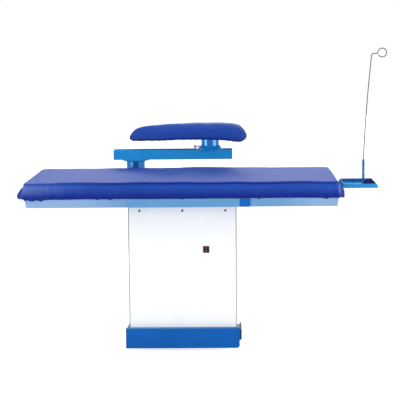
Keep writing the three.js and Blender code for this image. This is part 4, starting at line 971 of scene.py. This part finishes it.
# Post with its weld bead on the duct, flange, and the journal that turns in them
turned_piece("pivot_post", "post", [
    (0.045, 0.769), (0.0516, 0.769), (0.0512, 0.7706), (0.0498, 0.772), (0.0485, 0.7728),
    (0.048, 0.7734), (0.048, 0.8872), (0.0476, 0.8877), (0.0454, 0.8877), (0.045, 0.8872)],
    (*POST, 0))
turned_piece("post_flange", "arm_blue", [
    (0.045, 0.8877), (0.0483, 0.8877), (0.0483, 0.8835), (0.0511, 0.8835), (0.0515, 0.8839),
    (0.0662, 0.8883), (0.0694, 0.8887), (0.07, 0.8893), (0.07, 0.8931), (0.0694, 0.8937),
    (0.0454, 0.8937), (0.045, 0.8933)], (*POST, 0))
turned_piece("arm_pivot_tube", "bright_steel", [
    (0.0412, 0.7946), (0.0418, 0.794), (0.0436, 0.794), (0.0442, 0.7946),
    (0.0442, 0.8996), (0.0438, 0.9), (0.0416, 0.9), (0.0412, 0.8996)], (*POST, 0))

# Neck flange with the lock screw's hole, and the lacquered neck
turned_piece("neck_flange", "flange", [
    (0.0473, 0.944), (0.0731, 0.944), (0.0735, 0.9444), (0.0735, 0.9464), (0.0729, 0.947),
    (0.0685, 0.9475), (0.0635, 0.949), (0.0585, 0.9521), (0.0548, 0.9561), (0.0524, 0.9602),
    (0.0514, 0.9623), (0.051, 0.9632), (0.0504, 0.9635), (0.0479, 0.9635), (0.0473, 0.9632)],
    (*NECK, 0), sides=128,
    cutters=[bar((0.05, *LOCK_AT.yz), (NECK[0], *LOCK_AT.yz), 0.0043)])
turned_piece("buck_neck", "neck_blue", [
    (0.036, 0.9208), (0.0365, 0.9203), (0.0383, 0.9203), (0.039, 0.921), (0.039, 0.9443),
    (0.0461, 0.9443), (0.0465, 0.9448), (0.0465, 0.9996), (0.0463, 1.0001), (0.0465, 1.0006),
    (0.0465, 1.0036), (0.0461, 1.004), (0.0389, 1.004), (0.0385, 1.0036), (0.036, 0.9443)],
    (*NECK, 0), sides=128)


def knurled(obj, low, high, radius):
    """Presses grip into the faces round the lock screw's head, which lies along X."""
    edit(obj, "FACE", "DESELECT")
    mesh = bmesh.from_edit_mesh(obj.data)
    for face in mesh.faces:
        middle = face.calc_center_median()
        across = (middle - LOCK_AT).yz.length
        face.select = low < middle.x < high and across > radius * 0.97
    bmesh.update_edit_mesh(obj.data)
    bpy.ops.mesh.inset(thickness=0.00012, depth=-0.00035, use_individual=True)
    leave_edit()


lock = turned("lock_screw_finished", [
    (POLE, -0.043), (0.0058, -0.043), (0.0066, -0.0424), (0.0078, -0.042), (0.0088, -0.0426),
    (0.009, -0.0434), (0.009, -0.0526), (0.0088, -0.0534), (0.0078, -0.054), (0.0062, -0.054),
    (0.0058, -0.0548), (0.004, -0.0552), (0.004, -0.0803), (0.0036, -0.0807), (POLE, -0.0807)],
    (0, 0, 0), 40, "X", closed=False)
lock.data.transform(Matrix.Translation(LOCK_AT) @ Matrix.Rotation(math.pi, 4, "Z"))
knurled(lock, 0.044, 0.052, 0.009)
outward(lock)
complete(lock, "lock_screw", "chrome", 35)


# Motor, shafts and spring

FAN_AXIS = (-0.03, 0.03)

# The motor with its fins, and with the air holes in its lower end
FIN_COUNT, FIN_PITCH, FINS_FROM = 15, 0.0085, 0.243
FIN_FOOT, FIN_TIP = 0.0682, 0.07
fins = [(FIN_FOOT, 0.2405)]
for index in range(FIN_COUNT):
    low = FINS_FROM + index * FIN_PITCH
    fins += [(FIN_FOOT, low), (FIN_TIP, low + 0.0006), (FIN_TIP, low + 0.0022),
             (FIN_FOOT, low + 0.0028)]
cooling = []
for ring, holes in ((0.022, 8), (0.04, 14)):
    for index in range(holes):
        angle = 2 * math.pi * index / holes
        spot = (FAN_AXIS[0] + ring * math.cos(angle), FAN_AXIS[1] + ring * math.sin(angle))
        cooling.append(bar((*spot, 0.22), (*spot, 0.2315), 0.0038, 12))
turned_piece("fan_motor", "motor_grey", [
    (0.0093, 0.372), (POLE, 0.372), (POLE, 0.2285), (0.058, 0.2285), (0.058, 0.225),
    (0.066, 0.225), (0.07, 0.2272), (0.07, 0.2385), *fins, (0.0682, 0.374), (0.07, 0.3755),
    (0.07, 0.3795), (0.0834, 0.3795), (0.084, 0.38), (0.084, 0.3994), (0.0834, 0.4),
    (0.0098, 0.4), (0.0093, 0.3995)], (*FAN_AXIS, 0), closed=False, degrees=30, cutters=cooling)

turned_piece("motor_shaft", "bright_steel", [
    (POLE, 0.3853), (0.0084, 0.3853), (0.009, 0.3859), (0.009, 0.4525), (0.0079, 0.454),
    (0.002, 0.454), (POLE, 0.4515)], (*FAN_AXIS, 0), sides=48, closed=False)
turned_piece("pedal_shaft", "bright_steel", [
    (POLE, -0.2805), (0.0018, -0.281), (0.0072, -0.281), (0.008, -0.28), (0.008, 0.282),
    (0.0072, 0.283), (0.0018, 0.283), (POLE, 0.2825)],
    (0, 0.02, 0.083), "X", sides=48, closed=False)

SPRING_AT = Vector((0.0672, -0.11, 0.0438))
SPRING_TURNS = 5
SPRING_RISE = 0.0274
SPRING_RADIUS = 0.0125
SPRING_WIRE = 0.0014
SPRING_STEPS = 28  # for each turn
SPRING_FLAT = 0.75  # of a turn, at each end
rising = SPRING_TURNS - 2 * SPRING_FLAT
coil = []
for index in range(SPRING_TURNS * SPRING_STEPS + 1):
    angle = 2 * math.pi * index / SPRING_STEPS
    risen = clamp(index / SPRING_STEPS - SPRING_FLAT, 0, rising) / rising
    coil.append(SPRING_AT + Vector((
        SPRING_RADIUS * math.cos(angle), SPRING_RADIUS * math.sin(angle), SPRING_RISE * risen)))
spring = swept("return_spring_finished", coil, SPRING_WIRE, 4)
complete(spring, "return_spring", "bright_steel", 50)
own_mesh(spring)


# Hanger

SOCKET_TOP = 0.919
ROD_FOOT, ROD_RADIUS = 0.8023, 0.0025
ELBOW, ELBOW_RADIUS = (0.9445, 1.433), 0.01  # x and z of its middle
CURL, CURL_RADIUS = (0.9615, 1.447), 0.004
RING, RING_RADIUS, RING_GAP = (0.987, 1.447), 0.0215, math.radians(28)

turned_piece("hanger_socket", "socket", [
    (POLE, 0.799), (0.0062, 0.799), (0.00635, 0.79925), (0.00635, 0.9184), (0.0061, 0.9188),
    (0.0057, SOCKET_TOP), (0.0038, SOCKET_TOP), (0.0035, 0.9188), (0.0033, 0.9185), (0.0033, 0.802),
    (POLE, 0.802)], (*SOCKET, 0), sides=48, closed=False)

# The nut: six sides, chamfered by a turned cutter, and a round bore
NUT_RADIUS, NUT_LOW, NUT_HIGH = 0.0095, 0.799, 0.805
bpy.ops.mesh.primitive_cylinder_add(
    vertices=6, radius=NUT_RADIUS, depth=NUT_HIGH - NUT_LOW,
    location=(*SOCKET, (NUT_LOW + NUT_HIGH) / 2))
nut = bpy.context.active_object
nut.name = "hanger_nut_finished"
settle(nut)
inner, outer = NUT_RADIUS * math.cos(math.pi / 6) * 0.97, NUT_RADIUS * 1.02
trim = turned("trim", [
    (inner, NUT_LOW - 0.001), (NUT_RADIUS * 1.3, NUT_LOW - 0.001),
    (NUT_RADIUS * 1.3, NUT_HIGH + 0.001), (inner, NUT_HIGH + 0.001), (inner, NUT_HIGH),
    (outer, NUT_HIGH - NUT_RADIUS * 0.1), (outer, NUT_LOW + NUT_RADIUS * 0.1),
    (inner, NUT_LOW)], (*SOCKET, 0), 48)
bore = bar((*SOCKET, NUT_LOW - 0.002), (*SOCKET, NUT_HIGH + 0.002), 0.00665, 48)
cut_with(nut, [trim, bore])
complete(nut, "hanger_nut", "socket", 30)


def arc_points(centre, radius, start, end, steps):
    """Points of an arc in the plane that the hanger's wire lies in."""
    angles = [start + (end - start) * i / steps for i in range(steps + 1)]
    return [Vector((centre[0] + radius * math.cos(angle), SOCKET[1],
                    centre[1] + radius * math.sin(angle))) for angle in angles]


def hanger_path():
    """The wire's middle line: foot, leaning rod, elbow and open ring."""
    low = Vector((*SOCKET, SOCKET_TOP))
    high = Vector((ELBOW[0] - ELBOW_RADIUS, SOCKET[1], ELBOW[1]))
    bulge = Vector((SOCKET[0] + 0.0115, SOCKET[1], SOCKET_TOP + 0.49 * 0.524))
    lean = []
    for i in range(41):
        t = i / 40
        lean.append(low * (1 - t) ** 2 + bulge * 2 * t * (1 - t) + high * t * t)
    elbow = arc_points(ELBOW, ELBOW_RADIUS, math.pi, math.pi / 2, 10)[1:]
    curl = arc_points(CURL, CURL_RADIUS, -math.pi / 2, 0, 6)
    ring = arc_points(RING, RING_RADIUS, math.pi, RING_GAP - math.pi, 64)[1:]
    return [Vector((*SOCKET, ROD_FOOT)), *lean, *elbow, *curl, *ring]


wire = swept("hanger_rod_finished", hanger_path(), ROD_RADIUS, 5)
complete(wire, "hanger_rod", "wire", 50)


# Screws and switch

CABINET_FRONT = -0.187
SCREW_HEIGHT = 0.6935

for side, x in (("left", -0.211), ("centre", -0.002), ("right", 0.207)):
    slots = []
    for wide, tall in ((0.0034, 0.0007), (0.0007, 0.0034)):
        slots.append(block("slot", (x - wide, CABINET_FRONT - 0.004, SCREW_HEIGHT - tall),
                           (x + wide, CABINET_FRONT - 0.0014, SCREW_HEIGHT + tall)))
    turned_piece("panel_screw_" + side, "dark", [
        (POLE, -0.0031), (0.0018, -0.003), (0.0035, -0.0026), (0.0048, -0.0018),
        (0.0054, -0.0008), (0.0055, -0.0002), (0.0055, 0), (0.0021, 0), (0.0021, 0.0094),
        (POLE, 0.01)], (x, CABINET_FRONT, SCREW_HEIGHT), "Y", 40, False, 30, slots)

ROCKER_AT = Vector((0.1125, CABINET_FRONT, 0.5025))
ROCKER_TILT = math.radians(-7)
ROCKER_HALF = Vector((0.0103, 0.0025, 0.0118))
ROCKER_DISH = 0.0009


def rocker():
    """The rocker: a dished slab on its tilt, with a bar for on and a ring for off."""
    body = block("switch_rocker_finished", -ROCKER_HALF, ROCKER_HALF)
    edit(body)
    bpy.ops.mesh.subdivide(number_cuts=12)
    leave_edit()
    for vertex in body.data.vertices:
        if vertex.co.y < -0.0024:
            vertex.co.y += ROCKER_DISH * (1 - (vertex.co.z / ROCKER_HALF.z) ** 2)
    bevel(body, 0.0005, 2, 50)
    stroke = block("on", (-0.0006, -0.00215, 0.0045), (0.0006, -0.00185, 0.0087))
    ring = turned("off", [
        (0.0016, -0.0022), (0.0024, -0.0022), (0.0024, -0.0018), (0.0016, -0.0018)],
        (0, 0, -0.0066), 32, "Y")
    for index, part in enumerate((body, stroke, ring)):
        dress(part, FINISH["red_plastic"], FINISH["mark"])
        for polygon in part.data.polygons:
            polygon.material_index = min(index, 1)
    joined = join_all("switch_rocker_finished", [body, stroke, ring])
    joined.data.transform(Matrix.Translation(ROCKER_AT) @ Matrix.Rotation(ROCKER_TILT, 4, "X"))
    smooth(joined, 35)
    finish_piece(joined, "switch_rocker")


rocker()

# Cable gland: six-sided foot, threaded barrel and a domed nut with a bore for the cord
GLAND_AT = (0.18, 0.263, 0.15)
barrel = turned("gland_barrel", [
    (0.0045, 0.002), (0.009, 0.002), (0.009, 0.006), (0.0084, 0.0065), (0.009, 0.007),
    (0.0084, 0.0075), (0.009, 0.008), (0.0098, 0.0086), (0.0098, 0.019), (0.0092, 0.0215),
    (0.0078, 0.0236), (0.0062, 0.024), (0.005, 0.024), (0.0045, 0.0234)], GLAND_AT, 48, "Y")
foot = turned("gland_foot", [
    (0.0045, -0.014), (0.0088, -0.014), (0.0088, 0.0), (0.0125, 0.0), (0.0138, 0.0006),
    (0.0138, 0.0034), (0.0125, 0.004), (0.0045, 0.004)], GLAND_AT, 6, "Y")
gland = join_all("cable_gland_finished", [barrel, foot])
complete(gland, "cable_gland", "black_plastic", 30)


# Camera and light

FOCAL_PIXELS, PICTURE_PIXELS = 1495.2, 400
SENSOR_MM = 36
CAMERA_AT = (0.2362, -7.4066, 1.5659)
YAW, PITCH, ROLL = (math.radians(angle) for angle in (1.202, 6.484, -0.581))

camera_data = bpy.data.cameras.new("camera")
camera_data.sensor_width = SENSOR_MM
camera_data.lens = SENSOR_MM * FOCAL_PIXELS / PICTURE_PIXELS
camera_data.clip_end = 60
camera = add_object("camera", camera_data)
camera.matrix_world = (
    Matrix.Translation(CAMERA_AT) @ Matrix.Rotation(YAW, 4, "Z")
    @ Matrix.Rotation(math.pi / 2 - PITCH, 4, "X") @ Matrix.Rotation(ROLL, 4, "Z"))
scene.camera = camera


def lamp(name, place, target, width, height, power):
    """A lit rectangle that faces a target."""
    data = bpy.data.lights.new(name, "AREA")
    data.shape = "RECTANGLE"
    data.size = width
    data.size_y = height
    data.energy = power
    obj = add_object(name, data)
    turn = (Vector(target) - Vector(place)).to_track_quat("-Z", "Y").to_matrix().to_4x4()
    obj.matrix_world = Matrix.Translation(place) @ turn
    return obj


front = lamp("front", (0.2, -4.6, 1.1), (0, 0, 0.6), 3.2, 2.0, 55)
front.visible_glossy = False
lamp("left", (-1.75, -1.4, 1.4), (-0.6, -0.3, 0.75), 0.35, 1.4, 11)
lamp("right", (1.75, -1.4, 1.4), (0.6, -0.3, 0.75), 0.35, 1.4, 11)
for name, place in (("left_strip", (-1.71, -0.54, 0.9)), ("right_strip", (1.96, -0.50, 0.9))):
    strip = lamp(name, place, (*NECK, 0.98), 0.9, 1.3, 24)
    strip.visible_diffuse = False
lamp("top", (0, 0.2, 3.6), (0, 0, 0.7), 3.2, 2.2, 40)
lamp("rear", (0, 3.4, 2.2), (0, 0, 0.8), 3.0, 1.4, 30)


def show_white(tree, lighting, seen, output):
    """Shows one shader to the camera, reflections and glass, and lights with another."""
    path = tree.nodes.new("ShaderNodeLightPath")
    total = path.outputs["Is Camera Ray"]
    for name in ("Is Glossy Ray", "Is Transmission Ray"):
        either = tree.nodes.new("ShaderNodeMath")
        either.operation = "MAXIMUM"
        tree.links.new(total, either.inputs[0])
        tree.links.new(path.outputs[name], either.inputs[1])
        total = either.outputs["Value"]
    mix = tree.nodes.new("ShaderNodeMixShader")
    for socket, source in zip(mix.inputs, (total, lighting.outputs[0], seen.outputs[0])):
        tree.links.new(source, socket)
    tree.links.new(mix.outputs[0], tree.nodes[output].inputs["Surface"])


world = bpy.data.worlds.new("studio")
scene.world = world
world.use_nodes = True
ambient = world.node_tree.nodes["Background"]
seen = world.node_tree.nodes.new("ShaderNodeBackground")
for background, strength in ((ambient, 0.58), (seen, 1.0)):
    background.inputs["Color"].default_value = (1, 1, 1, 1)
    background.inputs["Strength"].default_value = strength
show_white(world.node_tree, ambient, seen, "World Output")

bpy.ops.mesh.primitive_plane_add(size=40, location=(0, 0, 0))
floor = bpy.context.active_object
floor.name = "floor"
paper = Finish("floor", (0.9, 0.9, 0.9, 1), 0.9)
glow = paper.node("ShaderNodeEmission", strength=0.75)
lit = paper.tree.nodes.new("ShaderNodeAddShader")
paper.tree.links.new(paper.shader.outputs[0], lit.inputs[0])
paper.tree.links.new(glow.outputs[0], lit.inputs[1])
show_white(paper.tree, paper.shader, lit, "Material Output")
dress(floor, paper.material)

scene.view_settings.view_transform = "Standard"
